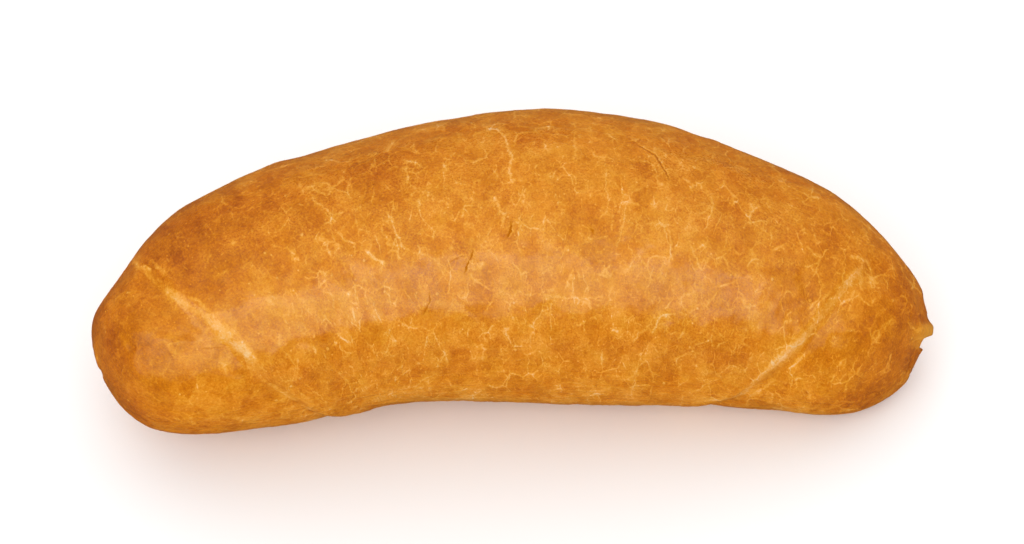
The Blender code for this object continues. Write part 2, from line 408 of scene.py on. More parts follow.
@dataclass(frozen=True)
class TornTip:
    """The torn spot at the end of the right tip: a notch with a flat floor below a loose flap.

    The tear runs along a line that slopes down towards the back. Its parts stand above the tip's end
    point by an offset across that line.
    """

    slope_deg: float = 55.0
    shift: float = 0.0015
    half_length: float = 0.0055
    brow_offset: float = 0.0113
    brow_half_height: float = 0.0026
    brow_depth: float = 0.0005
    flap_offset: float = 0.0071
    flap_half_height: float = 0.0015
    flap_rise: float = 0.0006
    notch_offset: float = 0.00495
    notch_half_height: float = 0.00122
    notch_floor: float = 0.00186
    notch_floor_slope: float = 0.38
    scrape_offset: float = 0.0016
    scrape_half_height: float = 0.0021
    scrape_depth: float = 0.0004
    soft_edge: int = 4
    sharp_edge: int = 8
    facing: tuple = (0.55, 0.80)

    def masks(self, points: np.ndarray, normals: np.ndarray, tip_end: np.ndarray) -> dict[str, np.ndarray]:
        """Find the parts of the tear.

        Args:
            points: Points of the skin, in metres.
            normals: Its normals there.
            tip_end: The end of the right tip.

        Returns:
            Masks from 0 to 1, by the names brow, flap, notch and scrape.
        """
        slope = math.radians(self.slope_deg)
        along = (points - tip_end) @ np.array((0.0, math.cos(slope), -math.sin(slope))) - self.shift
        above = self.above(points, tip_end)
        spread = np.exp(-((along / self.half_length) ** self.soft_edge))
        spread *= smooth_step(self.facing[0], self.facing[1], normals[:, 0])
        bands = {
            "brow": (self.brow_offset, self.brow_half_height, self.soft_edge),
            "flap": (self.flap_offset, self.flap_half_height, self.soft_edge),
            "notch": (self.notch_offset, self.notch_half_height, self.sharp_edge),
            "scrape": (self.scrape_offset, self.scrape_half_height, self.soft_edge),
        }
        return {name: spread * np.exp(-(((above - at) / half) ** sharpness))
                for name, (at, half, sharpness) in bands.items()}

    def above(self, points: np.ndarray, tip_end: np.ndarray) -> np.ndarray:
        """Measure how far points stand above the tip's end, square to the tear's line."""
        slope = math.radians(self.slope_deg)
        return (points - tip_end) @ np.array((0.0, math.sin(slope), math.cos(slope)))

    def move(self, points: np.ndarray, masks: dict[str, np.ndarray], tip_end: np.ndarray) -> np.ndarray:
        """Say how far the skin moves out along X.

        Args:
            points: Points of the skin, in metres.
            masks: The tear's parts there.
            tip_end: The end of the right tip.

        Returns:
            Distances in metres.
        """
        floor = self.notch_floor + self.notch_floor_slope * (self.above(points, tip_end) - self.notch_offset)
        over_floor = np.maximum(points[:, 0] - tip_end[0] - floor, 0.0)
        return (self.flap_rise * masks["flap"] - self.brow_depth * masks["brow"]
                - self.scrape_depth * masks["scrape"] - over_floor * masks["notch"])


@dataclass(frozen=True)
class DoughForm:
    """The bent, tapered dough in metres: the solid's driving sizes, but a half length 0.2 mm shorter.

    A place "along" runs from -1 at the left tip to 1 at the right tip. The section's scale is 1 in the
    middle and 0 at the tips. The angle "around" is 0 at the front, 90 at the crown and 180 at the back.
    """

    half_length: float = 0.0798
    heading_at: tuple = (-1.0, -0.7, -0.35, 0.0, 0.35, 0.7, 1.0)
    heading_deg: tuple = (24.5, 30.5, 15.0, 4.0, -8.0, -19.5, -40.5)
    fullness_at: tuple = (-1.0, -0.9, -0.65, -0.35, 0.0, 0.35, 0.65, 0.9, 1.0)
    fullness: tuple = (0.04325, 0.03425, 0.0295, 0.02725, 0.0280, 0.0290, 0.0290, 0.0345, 0.0415)
    middle_fullness: float = 0.0280
    crown_ratio: float = 0.92
    belly_ratio: float = 0.85
    axis_height: float = 0.0205
    tip_height: tuple = (0.0180, 0.0090)
    tip_lean: tuple = (0.0035, 0.0020)
    tip_lean_start: float = 0.75
    base_rounding: float = 0.0015
    line_steps: int = 401
    least_girth: float = 0.010
    seams: tuple = (
        Seam(Side.LEFT, distance=(0.006, 0.033, 0.0491, 0.0554, 0.0584, 0.0630, 0.0644, 0.0670, 0.0710)),
        Seam(Side.RIGHT, distance=(0.006, 0.031, 0.0508, 0.0578, 0.0616, 0.0651, 0.0668, 0.0690, 0.0730)),
    )
    foot_drop: float = 0.0009
    foot_reach: float = 0.014
    seam_softness: float = 0.0014
    seam_groove: float = 0.00015
    seam_groove_width: float = 0.0015
    merged_from_deg: tuple = (105.0, 130.0)
    merged_to_deg: tuple = (160.0, 190.0)
    shoulders: tuple = (
        Shoulder(-0.057, 135.0, 0.011, 0.0020),
        Shoulder(0.057, 135.0, 0.012, 0.0020),
        Shoulder(-0.072, 142.0, 0.008, -0.0008),
        Shoulder(0.0735, 133.0, 0.006, -0.0005),
        Shoulder(-0.025, 136.0, 0.010, -0.0005),
        Shoulder(-0.0385, 147.0, 0.005, 0.0004),
    )

    def half_width(self, along: np.ndarray) -> np.ndarray:
        """Read the half width of the dough, before the tips close, at places along it."""
        return smooth_curve(self.fullness_at, self.fullness, along)

    def straight(self, along: np.ndarray, section: np.ndarray, around: np.ndarray) -> np.ndarray:
        """Place points on the dough before it is bent.

        Args:
            along: Places from tip to tip.
            section: Scale of the section at each.
            around: Angle round the section, in radians.

        Returns:
            Points in metres, one a row: along, across and up.
        """
        radius = self.half_width(along) * section
        across = -radius * np.cos(around)
        up = radius * np.sin(around)
        return np.column_stack((self.half_length * np.asarray(along), across, up))

    def spot(self, along_mm: float, angle_deg: float) -> np.ndarray:
        """Place one point of the straight dough's skin.

        Args:
            along_mm: Distance from the middle along the dough, in millimetres.
            angle_deg: Angle round it.

        Returns:
            The point, in millimetres.
        """
        along = along_mm * MM / self.half_length
        section = math.sqrt(max(0.0, 1.0 - along**2))
        return self.straight(np.array([along]), section, math.radians(angle_deg))[0] / MM

    def soft_floor(self, height: np.ndarray) -> np.ndarray:
        """Flatten what would reach below the base, with a soft edge round the flat.

        Args:
            height: Heights over the base, in metres.

        Returns:
            The new heights.
        """
        soft = (height + self.base_rounding) ** 2 / (4.0 * self.base_rounding)
        above = np.where(height > self.base_rounding, height, soft)
        return np.where(height < -self.base_rounding, 0.0, above)

    def bent(self, along: np.ndarray, section: np.ndarray, around: np.ndarray) -> np.ndarray:
        """Bend the dough along its centreline and sink it onto its base.

        Args:
            along: Places from tip to tip.
            section: Scale of the section at each.
            around: Angle round the section, in radians.

        Returns:
            Points of the skin in metres, one a row.
        """
        line_at = np.linspace(-1.0, 1.0, self.line_steps)
        line_heading = np.radians(smooth_curve(self.heading_at, self.heading_deg, line_at))
        step = self.half_length * (line_at[1] - line_at[0])
        run_x = np.cumsum(np.cos(line_heading)) * step
        run_y = np.cumsum(np.sin(line_heading)) * step
        run_x -= np.interp(0.0, line_at, run_x)
        run_y -= np.interp(0.0, line_at, run_y)
        heading = np.interp(along, line_at, line_heading)
        half_width = self.half_width(along)
        out = -half_width * section * np.cos(around)
        rise = section * np.sin(around)
        x = np.interp(along, line_at, run_x) - np.sin(heading) * out
        y = np.interp(along, line_at, run_y) + np.cos(heading) * out
        lean = np.where(along < 0.0, *self.tip_lean)
        past = (np.abs(along) - self.tip_lean_start) / (1.0 - self.tip_lean_start)
        y += lean * np.clip(past, 0.0, 1.0) ** 2
        tip_height = np.where(along < 0.0, *self.tip_height)
        axis_height = self.axis_height + (tip_height - self.axis_height) * along**2
        z = axis_height + half_width * rise * np.where(rise >= 0.0, self.crown_ratio, self.belly_ratio)
        return np.column_stack((x, y, self.soft_floor(z)))

    def beyond_seam(self, along: np.ndarray, section: np.ndarray, around: np.ndarray) -> np.ndarray:
        """Measure how far each point lies beyond the wrap's edge on its own side.

        Args:
            along: Places from tip to tip.
            section: Scale of the section at each.
            around: Angle round the section, in radians.

        Returns:
            The distance towards the tip, in metres; below zero on the wrap.
        """
        girth = np.maximum(self.middle_fullness * section, self.least_girth)
        angle_deg = np.degrees(around)
        left, right = (seam.beyond(along * self.half_length, angle_deg, girth) for seam in self.seams)
        return np.where(along < 0.0, left, right)

    def wrap_relief(self, beyond: np.ndarray, angle_deg: np.ndarray) -> np.ndarray:
        """Lower the tips that the wrap leaves bare, but not where its edge has merged at the back.

        Args:
            beyond: Distance beyond the wrap's edge, in metres.
            angle_deg: Angle round the dough.

        Returns:
            Heights in metres.
        """
        on_tip = smooth_step(-self.seam_softness, self.seam_softness, beyond)
        foot = self.foot_drop * np.exp(-np.maximum(beyond, 0.0) / self.foot_reach) * on_tip
        groove = self.seam_groove * np.exp(-((beyond - self.seam_softness) / self.seam_groove_width) ** 2)
        merged = smooth_step(*self.merged_from_deg, angle_deg)
        merged = merged * (1.0 - smooth_step(*self.merged_to_deg, angle_deg))
        return -(foot + groove) * (1.0 - merged)

    def shoulder_relief(self, dough: np.ndarray) -> np.ndarray:
        """Fill out the wrap's shoulders.

        Args:
            dough: Points of the straight dough, in metres.

        Returns:
            Heights in metres.
        """
        total = np.zeros(len(dough))
        for shoulder in self.shoulders:
            middle = self.spot(shoulder.along / MM, shoulder.angle_deg) * MM
            total += shoulder.height * np.exp(-np.sum((dough - middle) ** 2, axis=1) / shoulder.reach**2)
        return total


# ----------------------------------------------------------------------------------------------------
# The fine skin
# ----------------------------------------------------------------------------------------------------


@dataclass
class RollSkin:
    """The roll's skin as a fine mesh, with the places on the straight dough stored on it."""

    form: DoughForm = field(default_factory=DoughForm)
    tear: TornTip = field(default_factory=TornTip)
    cells_along: int = 286
    cells_per_side: int = 72
    cap_angle_deg: float = 26.0
    profile_steps: int = 721
    fine_patch_centre: tuple = (0.30, 0.06)
    fine_patch_half_size: float = 0.40
    swell_size: float = 0.024
    swell_height: float = 0.0004
    lump_size: float = 0.009
    lump_height: float = 0.0002
    base_relief_start: float = 0.0006
    base_relief_full: float = 0.0040
    notch_crumb: float = 0.35
    flap_crumb: float = 0.60

    def cube(self) -> bmesh.types.BMesh:
        """Make a cube from -1 to 1 whose faces are even grids, finer along X and at the torn spot.

        Returns:
            The cube.
        """
        bm = bmesh.new()
        bmesh.ops.create_cube(bm, size=2.0)
        for runs_along, cuts in ((True, self.cells_along - 1), (False, self.cells_per_side - 1)):
            edges = []
            for edge in bm.edges:
                run = edge.verts[0].co - edge.verts[1].co
                if (abs(run.x) > run.length / 2.0) == runs_along:
                    edges.append(edge)
            bmesh.ops.subdivide_edges(bm, edges=edges, cuts=cuts, use_grid_fill=True)
        middle_y, middle_z = self.fine_patch_centre
        edges = []
        for edge in bm.edges:
            ends = [vert.co for vert in edge.verts]
            off = max(max(abs(end.y - middle_y), abs(end.z - middle_z)) for end in ends)
            if off < self.fine_patch_half_size and all(end.x > END_FACE for end in ends):
                edges.append(edge)
        bmesh.ops.subdivide_edges(bm, edges=edges, cuts=1, use_grid_fill=True)
        return bm

    def dough_places(self, cube_points: np.ndarray) -> tuple[np.ndarray, np.ndarray, np.ndarray]:
        """Carry points of the divided cube to the skin of the straight dough.

        Args:
            cube_points: Points of the cube, one a row.

        Returns:
            The place along the roll, the section's scale there and the angle round it.
        """
        cap = math.radians(self.cap_angle_deg)
        x, y, z = cube_points.T
        back = y * np.sqrt(1.0 - z**2 / 2.0)
        up = z * np.sqrt(1.0 - y**2 / 2.0)
        around = np.arctan2(up, -back)
        around = np.where(around < -math.pi / 2.0 - ROUND_OFF, around + 2.0 * math.pi, around)
        angle = np.linspace(0.0, math.pi, self.profile_steps)
        width = float(np.mean(self.form.fullness))
        speed = np.hypot(self.form.half_length * np.sin(angle), width * np.cos(angle))
        length = np.concatenate(([0.0], np.cumsum((speed[1:] + speed[:-1]) / 2.0 * np.diff(angle))))
        cap_length = np.interp(cap, angle, length)
        skin = cap_length + (x + 1.0) / 2.0 * (length[-1] - 2.0 * cap_length)
        on_cap = cap * np.hypot(back, up)
        polar = np.interp(skin, length, angle)
        polar = np.where(x < -END_FACE, on_cap, polar)
        polar = np.where(x > END_FACE, math.pi - on_cap, polar)
        return -np.cos(polar), np.sin(polar), around

    def build(self) -> bpy.types.Object:
        """Build the skin.

        Returns:
            The object, with its form but without the crust's fine relief.
        """
        bm = self.cube()
        mesh = bpy.data.meshes.new("roll_crust")
        bm.to_mesh(mesh)
        bm.free()
        cube_points = read_points(mesh)
        along, section, around = self.dough_places(cube_points)
        skin = self.form.bent(along, section, around)
        write_points(mesh, skin)
        normals = read_normals(mesh)
        dough = self.form.straight(along, section, around)
        beyond = self.form.beyond_seam(along, section, around)
        relief = self.form.wrap_relief(beyond, np.degrees(around)) + self.form.shoulder_relief(dough)
        relief += self.swell_height * noise_field(dough, self.swell_size)
        relief += self.lump_height * noise_field(dough, self.lump_size)
        off_base = smooth_step(self.base_relief_start, self.base_relief_full, skin[:, 2])
        tip_end = self.form.bent(np.ones(1), np.zeros(1), np.zeros(1))[0]
        torn = self.tear.masks(skin, normals, tip_end)
        moved = self.tear.move(skin, torn, tip_end)
        skin = skin + normals * (off_base * relief)[:, None]
        skin[:, 0] += moved
        low, high = skin.min(axis=0), skin.max(axis=0)
        skin -= np.array(((low[0] + high[0]) / 2.0, (low[1] + high[1]) / 2.0, low[2]))
        write_points(mesh, skin)
        store(mesh, "dough", dough / MM)
        store(mesh, "beyond", beyond / MM)
        store(mesh, "angle", np.degrees(around))
        store(mesh, "height", skin[:, 2] / MM)
        store(mesh, "off_base", off_base)
        crumb = self.notch_crumb * torn["notch"] + self.flap_crumb * torn["flap"]
        store(mesh, "torn", np.clip(crumb, 0.0, 1.0))
        mesh.shade_smooth()
        roll = bpy.data.objects.new("roll_crust", mesh)
        bpy.context.scene.collection.objects.link(roll)
        return roll


def read_points(mesh: bpy.types.Mesh) -> np.ndarray:
    """Read a mesh's points.

    Args:
        mesh: The mesh.

    Returns:
        One point a row.
    """
    flat = np.zeros(len(mesh.vertices) * 3)
    mesh.vertices.foreach_get("co", flat)
    return flat.reshape(-1, 3)


def write_points(mesh: bpy.types.Mesh, points: np.ndarray) -> None:
    """Move a mesh's points to the given ones, one a row."""
    mesh.vertices.foreach_set("co", points.astype(np.float32).ravel())
    mesh.update()


def read_normals(mesh: bpy.types.Mesh) -> np.ndarray:
    """Read the normals at a mesh's points.

    Args:
        mesh: The mesh.

    Returns:
        One normal a row.
    """
    flat = np.zeros(len(mesh.vertices) * 3, dtype=np.float32)
    mesh.vertex_normals.foreach_get("vector", flat)
    return flat.reshape(-1, 3).astype(float)


def store(mesh: bpy.types.Mesh, name: str, values: np.ndarray, domain: str = "POINT") -> None:
    """Keep values on a mesh for its materials and its relief.

    Args:
        mesh: The mesh that takes them.
        name: The attribute's name.
        values: One number or one vector for each element.
        domain: The kind of element.
    """
    is_vector = values.ndim == 2
    attribute = mesh.attributes.new(name, "FLOAT_VECTOR" if is_vector else "FLOAT", domain)
    attribute.data.foreach_set("vector" if is_vector else "value", values.astype(np.float32).ravel())


# ----------------------------------------------------------------------------------------------------
# Patterns of the crust
# ----------------------------------------------------------------------------------------------------


@dataclass(frozen=True)
class Pattern:
    """A pattern that is drawn with nodes: as a shader node group, or straight into a relief."""

    title: ClassVar[str] = ""
    takes: ClassVar[dict[str, str]] = {"Place": "NodeSocketVector"}
    gives: ClassVar[tuple[str, ...]] = ()

    def draw(self, sketch: Sketch, given: dict[str, Socket]) -> dict[str, Socket]:
        """Draw the pattern from its inputs, and give its results by name."""
        raise NotImplementedError

    def group(self) -> bpy.types.NodeTree:
        """Build the pattern's shader node group, once.

        Returns:
            The group.
        """
        tree = bpy.data.node_groups.get(self.title)
        if tree is not None:
            return tree
        tree = bpy.data.node_groups.new(self.title, "ShaderNodeTree")
        for name, kind in self.takes.items():
            tree.interface.new_socket(name=name, in_out="INPUT", socket_type=kind)
        for name in self.gives:
            tree.interface.new_socket(name=name, in_out="OUTPUT", socket_type="NodeSocketFloat")
        sketch = Sketch(tree)
        entry = sketch.add("NodeGroupInput")
        leave = sketch.add("NodeGroupOutput")
        results = self.draw(sketch, {name: entry.outputs[name] for name in self.takes})
        for name in self.gives:
            sketch.feed(leave.inputs[name], results[name])
        return tree

    def place(self, sketch: Sketch, **given: object) -> dict[str, Socket]:
        """Put the group in a material.

        Args:
            sketch: The material's sketch.
            **given: A socket or a value for each input, by name.

        Returns:
            The outputs by name.
        """
        node = sketch.add("ShaderNodeGroup", node_tree=self.group())
        for name, value in given.items():
            sketch.feed(node.inputs[name], value)
        return {name: node.outputs[name] for name in self.gives}


@dataclass(frozen=True)
class CrustPlates(Pattern):
    """Plates of the crust, each tilted a little its own way, with fine fissures between some of them."""

    title: ClassVar[str] = "crust plates"
    gives: ClassVar[tuple[str, ...]] = ("Tilt", "Tone", "Fissure")

    wander_size: float = 7.0
    wander: float = 4.5
    fray_size: float = 1.8
    fray: float = 1.3
    plate_size: float = 9.0
    break_size: float = 4.5
    open_levels: tuple = (0.50, 0.62)
    width_levels: tuple = (0.50, 0.68)
    fissure_widths: tuple = (0.03, 0.30)
    tilt: float = 0.05
    tilt_fade: float = 1.3
    tone_axis: tuple = (2.0, 0.0, 0.0)

    def draw(self, sketch: Sketch, given: dict[str, Socket]) -> dict[str, Socket]:
        """Draw the plates.

        Args:
            sketch: Takes the nodes.
            given: The place.

        Returns:
            Tilt in millimetres, tone from -1 to 1 and the fissures' mask.
        """
        place = given["Place"]
        drift = sketch.drift(place, self.wander_size, self.wander)
        fray = sketch.drift(place, self.fray_size, self.fray, detail=3.0, roughness=0.8)
        bent = sketch.vector("ADD", place, sketch.vector("ADD", drift, fray))
        plate = sketch.cells(bent, self.plate_size)
        colour = sketch.vector("SUBTRACT", plate.outputs["Color"], MIDDLE)
        offset = sketch.vector("SUBTRACT", bent, plate.outputs["Position"])
        edge = sketch.cells(bent, self.plate_size, "DISTANCE_TO_EDGE").outputs["Distance"]
        edge_mm = sketch.scaled(edge, self.plate_size)
        slope = sketch.scaled(sketch.vector("DOT_PRODUCT", offset, colour), self.tilt)
        breaks = sketch.noise(place, self.break_size, detail=3.0, roughness=0.6).outputs[0]
        width = sketch.rise(breaks, *self.width_levels, *self.fissure_widths)
        shown = sketch.rise(breaks, *self.open_levels)
        return {
            "Tilt": sketch.scaled(slope, sketch.rise(edge_mm, 0.0, self.tilt_fade)),
            "Tone": sketch.vector("DOT_PRODUCT", colour, self.tone_axis),
            "Fissure": sketch.scaled(sketch.rise(edge_mm, width, 0.0), shown),
        }


@dataclass(frozen=True)
class VeinSize:
    """One size of small plates and the pale veins between them, in millimetres but for the width."""

    name: str
    along: float
    around: float
    width: float
    break_size: float


@dataclass(frozen=True)
class CrustIslands(Pattern):
    """Browner islands in the golden crust, and small plates with thin pale veins between some of them."""

    title: ClassVar[str] = "crust islands"
    gives: ClassVar[tuple[str, ...]] = (
        "Large", "Middle", "Small", "Veins", "Veins Tone", "Fine Veins", "Fine Veins Tone",
    )

    sizes: tuple = (("Large", 8.0), ("Middle", 2.9), ("Small", 1.05))
    stretch: float = 1.3
    shore: float = 0.045
    wander: tuple = (2.6, 1.6)
    fray: tuple = (0.75, 0.38)
    hair: tuple = (0.28, 0.04)
    vein_sizes: tuple = (
        VeinSize("Veins", along=3.5, around=6.0, width=0.058, break_size=4.5),
        VeinSize("Fine Veins", along=1.5, around=2.6, width=0.080, break_size=2.2),
    )
    break_shift: tuple = (31.0, 17.0, 5.0)
    break_levels: tuple = (0.47, 0.60)
    tone_axis: tuple = (2.0, 0.0, 0.0)

    def draw(self, sketch: Sketch, given: dict[str, Socket]) -> dict[str, Socket]:
        """Draw the islands and the veins.

        Args:
            sketch: Takes the nodes.
            given: The place.

        Returns:
            Islands and the small plates' tones from -1 to 1, and the veins' masks.
        """
        place = given["Place"]
        result = {}
        for name, size in self.sizes:
            around = 1.0 / (size * self.stretch)
            spread = sketch.vector("MULTIPLY", place, (1.0 / size, around, around))
            ground = sketch.noise(spread, 1.0, detail=4.0, roughness=0.62).outputs[0]
            result[name] = sketch.rise(ground, 0.5 + self.shore, 0.5 - self.shore, -1.0, 1.0)
        bent = place
        for size, reach in (self.wander, self.fray, self.hair):
            bent = sketch.vector("ADD", bent, sketch.drift(place, size, reach, detail=1.0))
        elsewhere = sketch.vector("ADD", place, self.break_shift)
        for vein in self.vein_sizes:
            spread = sketch.vector("MULTIPLY", bent, (1.0 / vein.along, 1.0 / vein.around, 1.0 / vein.around))
            edge = sketch.cells(spread, 1.0, "DISTANCE_TO_EDGE").outputs["Distance"]
            breaks = sketch.noise(elsewhere, vein.break_size, detail=3.0, roughness=0.65).outputs[0]
            shown = sketch.rise(breaks, *self.break_levels)
            result[vein.name] = sketch.scaled(sketch.rise(edge, vein.width, 0.0), shown)
            tone = sketch.vector("SUBTRACT", sketch.cells(spread, 1.0).outputs["Color"], MIDDLE)
            result[f"{vein.name} Tone"] = sketch.vector("DOT_PRODUCT", tone, self.tone_axis)
        return result


@dataclass(frozen=True)
class GrainSize:
    """One layer of the crust's grain, as noise: its largest lumps, its finer layers and their strength."""

    name: str
    size: float
    detail: float
    roughness: float


@dataclass(frozen=True)
class SpotSize:
    """One kind of small spot, as noise between two levels, read away from where the others are."""

    name: str
    size: float
    detail: float
    roughness: float
    shift: tuple
    levels: tuple


@dataclass(frozen=True)
class CrustGrain(Pattern):
    """Mottling of the crust, from patches of a centimetre down to its finest grain."""

    title: ClassVar[str] = "crust grain"
    gives: ClassVar[tuple[str, ...]] = ("Patches", "Mottle", "Grain", "Flecks", "Pits", "Gold")

    grains: tuple = (
        GrainSize("Patches", size=16.0, detail=2.0, roughness=0.60),
        GrainSize("Mottle", size=4.0, detail=4.0, roughness=0.60),
        GrainSize("Grain", size=0.42, detail=1.0, roughness=0.80),
    )
    spots: tuple = (
        SpotSize("Flecks", 0.9, detail=3.0, roughness=0.70, shift=(9.0, 40.0, 23.0), levels=(0.56, 0.72)),
        SpotSize("Pits", 1.4, detail=2.0, roughness=0.70, shift=(50.0, 4.0, 61.0), levels=(0.42, 0.27)),
        SpotSize("Gold", 5.0, detail=4.0, roughness=0.65, shift=(71.0, 33.0, 8.0), levels=(0.40, 0.60)),
    )

    def draw(self, sketch: Sketch, given: dict[str, Socket]) -> dict[str, Socket]:
        """Draw the layers of the grain.

        Args:
            sketch: Takes the nodes.
            given: The place.

        Returns:
            Patches, mottle and grain from -1 to 1, and the masks of flecks, pits and golder crust.
        """
        place = given["Place"]
        result = {}
        for grain in self.grains:
            result[grain.name] = sketch.waves(place, grain.size, 1.0, grain.detail, grain.roughness)
        for spot in self.spots:
            elsewhere = sketch.vector("ADD", place, spot.shift)
            ground = sketch.noise(elsewhere, spot.size, spot.detail, spot.roughness).outputs[0]
            result[spot.name] = sketch.rise(ground, *spot.levels)
        return result


@dataclass(frozen=True)
class Blisters(Pattern):
    """Small raised blisters whose paleness is a painted glint, pin-prick specks, and short streaks that run
    round the roll.
    """

    title: ClassVar[str] = "crust blisters"
    takes: ClassVar[dict[str, str]] = {"Place": "NodeSocketVector", "Share": "NodeSocketFloat"}
    gives: ClassVar[tuple[str, ...]] = ("Blister Glint", "Speck", "Streak")

    blister_spacing: float = 2.6
    blister_reach: float = 0.16
    blister_least: float = 0.03
    blister_core: float = 0.5
    speck_spacing: float = 1.2
    speck_reach: float = 0.20
    speck_share: float = 0.28
    streak_across: float = 0.9
    streak_length: float = 3.6
    streak_reach: float = 0.22
    streak_share: float = 0.5
    streak_bend_size: float = 2.5
    streak_bend: float = 1.4
    core: float = 0.4

    def draw(self, sketch: Sketch, given: dict[str, Socket]) -> dict[str, Socket]:
        """Draw all three.

        Args:
            sketch: Takes the nodes.
            given: The place, and the share of the cells that hold one of the blisters.

        Returns:
            Masks from 0 to 1.
        """
        place, share = given["Place"], given["Share"]
        dots = sketch.cells(place, self.blister_spacing)
        dice = sketch.vector("DOT_PRODUCT", dots.outputs["Color"], (1.0, 0.0, 0.0))
        reach = sketch.vector("DOT_PRODUCT", dots.outputs["Color"], (0.0, self.blister_reach, 0.0))
        reach = sketch.math("ADD", reach, self.blister_least)
        # The blisters' paleness, drawn in the crust's colour, is a painted glint on each raised blister.
        blister_glint = sketch.rise(dots.outputs["Distance"], reach, sketch.scaled(reach, self.blister_core))
        bend = sketch.noise(place, self.streak_bend_size).outputs[1]
        bent = sketch.vector("ADD", place, sketch.vector("SCALE", bend, self.streak_bend))
        shape = (1.0 / self.streak_across, 1.0 / self.streak_length, 1.0 / self.streak_length)
        lines = sketch.cells(sketch.vector("MULTIPLY", bent, shape), 1.0)
        line_dice = sketch.vector("DOT_PRODUCT", lines.outputs["Color"], (0.0, 1.0, 0.0))
        streak = sketch.rise(lines.outputs["Distance"], self.streak_reach, self.streak_reach * self.core)
        specks = sketch.cells(place, self.speck_spacing)
        speck_dice = sketch.vector("DOT_PRODUCT", specks.outputs["Color"], (1.0, 0.0, 0.0))
        speck = sketch.rise(specks.outputs["Distance"], self.speck_reach, self.speck_reach * self.core)
        few = sketch.scaled(share, self.streak_share)
        return {
            "Blister Glint": sketch.scaled(blister_glint, sketch.math("LESS_THAN", dice, share)),
            "Speck": sketch.scaled(speck, sketch.math("LESS_THAN", speck_dice, self.speck_share)),
            "Streak": sketch.scaled(streak, sketch.math("LESS_THAN", line_dice, few)),
        }


@dataclass(frozen=True)
class StretchLines(Pattern):
    """Fine lines along the roll, where the dough was drawn tight near its base."""

    title: ClassVar[str] = "stretch lines"
    gives: ClassVar[tuple[str, ...]] = ("Lines",)

    along: float = 12.0
    across: float = 0.75

    def draw(self, sketch: Sketch, given: dict[str, Socket]) -> dict[str, Socket]:
        """Draw the lines.

        Args:
            sketch: Takes the nodes.
            given: The place.

        Returns:
            The lines, from -1 to 1.
        """
        shape = (1.0 / self.along, 1.0 / self.across, 1.0 / self.across)
        stretched = sketch.vector("MULTIPLY", given["Place"], shape)
        return {"Lines": sketch.waves(stretched, 1.0, 1.0, detail=3.0, roughness=0.6)}


@dataclass(frozen=True)
class SeamScar(Pattern):
    """Pale, fibrous dough where the outer wrap's edge tore open in the oven."""

    title: ClassVar[str] = "seam scar"
    takes: ClassVar[dict[str, str]] = {
        "Place": "NodeSocketVector",
        "Beyond": "NodeSocketFloat",
        "Strength": "NodeSocketFloat",
    }
    gives: ClassVar[tuple[str, ...]] = ("Scar", "Halo", "Lip")

    half_width: float = 0.5
    core: float = 0.35
    outside: float = 1.6
    wobble_size: float = 2.6
    wobble: float = 0.9
    fibre_size: float = 0.5
    fibre_levels: tuple = (0.25, 0.62, 0.45, 1.0)
    patch_size: float = 3.5
    patchiness: float = 0.9
    cover_levels: tuple = (0.15, 0.95)
    halo_reaches: tuple = (3.4, 0.2)
    lip_offset: float = 1.35
    lip_width: float = 0.35
    lip_levels: tuple = (0.45, 0.60)

    def draw(self, sketch: Sketch, given: dict[str, Socket]) -> dict[str, Socket]:
        """Draw the scar, its golden halo and its dark lip.

        Args:
            sketch: Takes the nodes.
            given: The place, the distance beyond the wrap's edge and the scar's strength there.

        Returns:
            Masks from 0 to 1.
        """
        place, strength = given["Place"], given["Strength"]
        wobble = sketch.waves(place, self.wobble_size, self.wobble, detail=4.0, roughness=0.65)
        off = sketch.math("ADD", given["Beyond"], wobble)
        distance = sketch.math("ABSOLUTE", off)
        fibres = sketch.noise(place, self.fibre_size, detail=3.0, roughness=0.7).outputs[0]
        patchy = sketch.noise(place, self.patch_size, detail=2.0, roughness=0.6).outputs[0]
        band = sketch.rise(distance, self.outside * self.half_width, self.core * self.half_width)
        cover = sketch.math("ADD", strength, sketch.centred(patchy, self.patchiness))
        band = sketch.scaled(band, sketch.rise(cover, *self.cover_levels))
        lip_off = sketch.math("ABSOLUTE", sketch.math("ADD", off, self.lip_offset * self.half_width))
        lip = sketch.scaled(sketch.rise(lip_off, self.lip_width, 0.0), strength)
        return {
            "Scar": sketch.scaled(band, sketch.rise(fibres, *self.fibre_levels)),
            "Halo": sketch.scaled(sketch.rise(distance, *self.halo_reaches), strength),
            "Lip": sketch.scaled(lip, sketch.rise(patchy, *self.lip_levels)),
        }


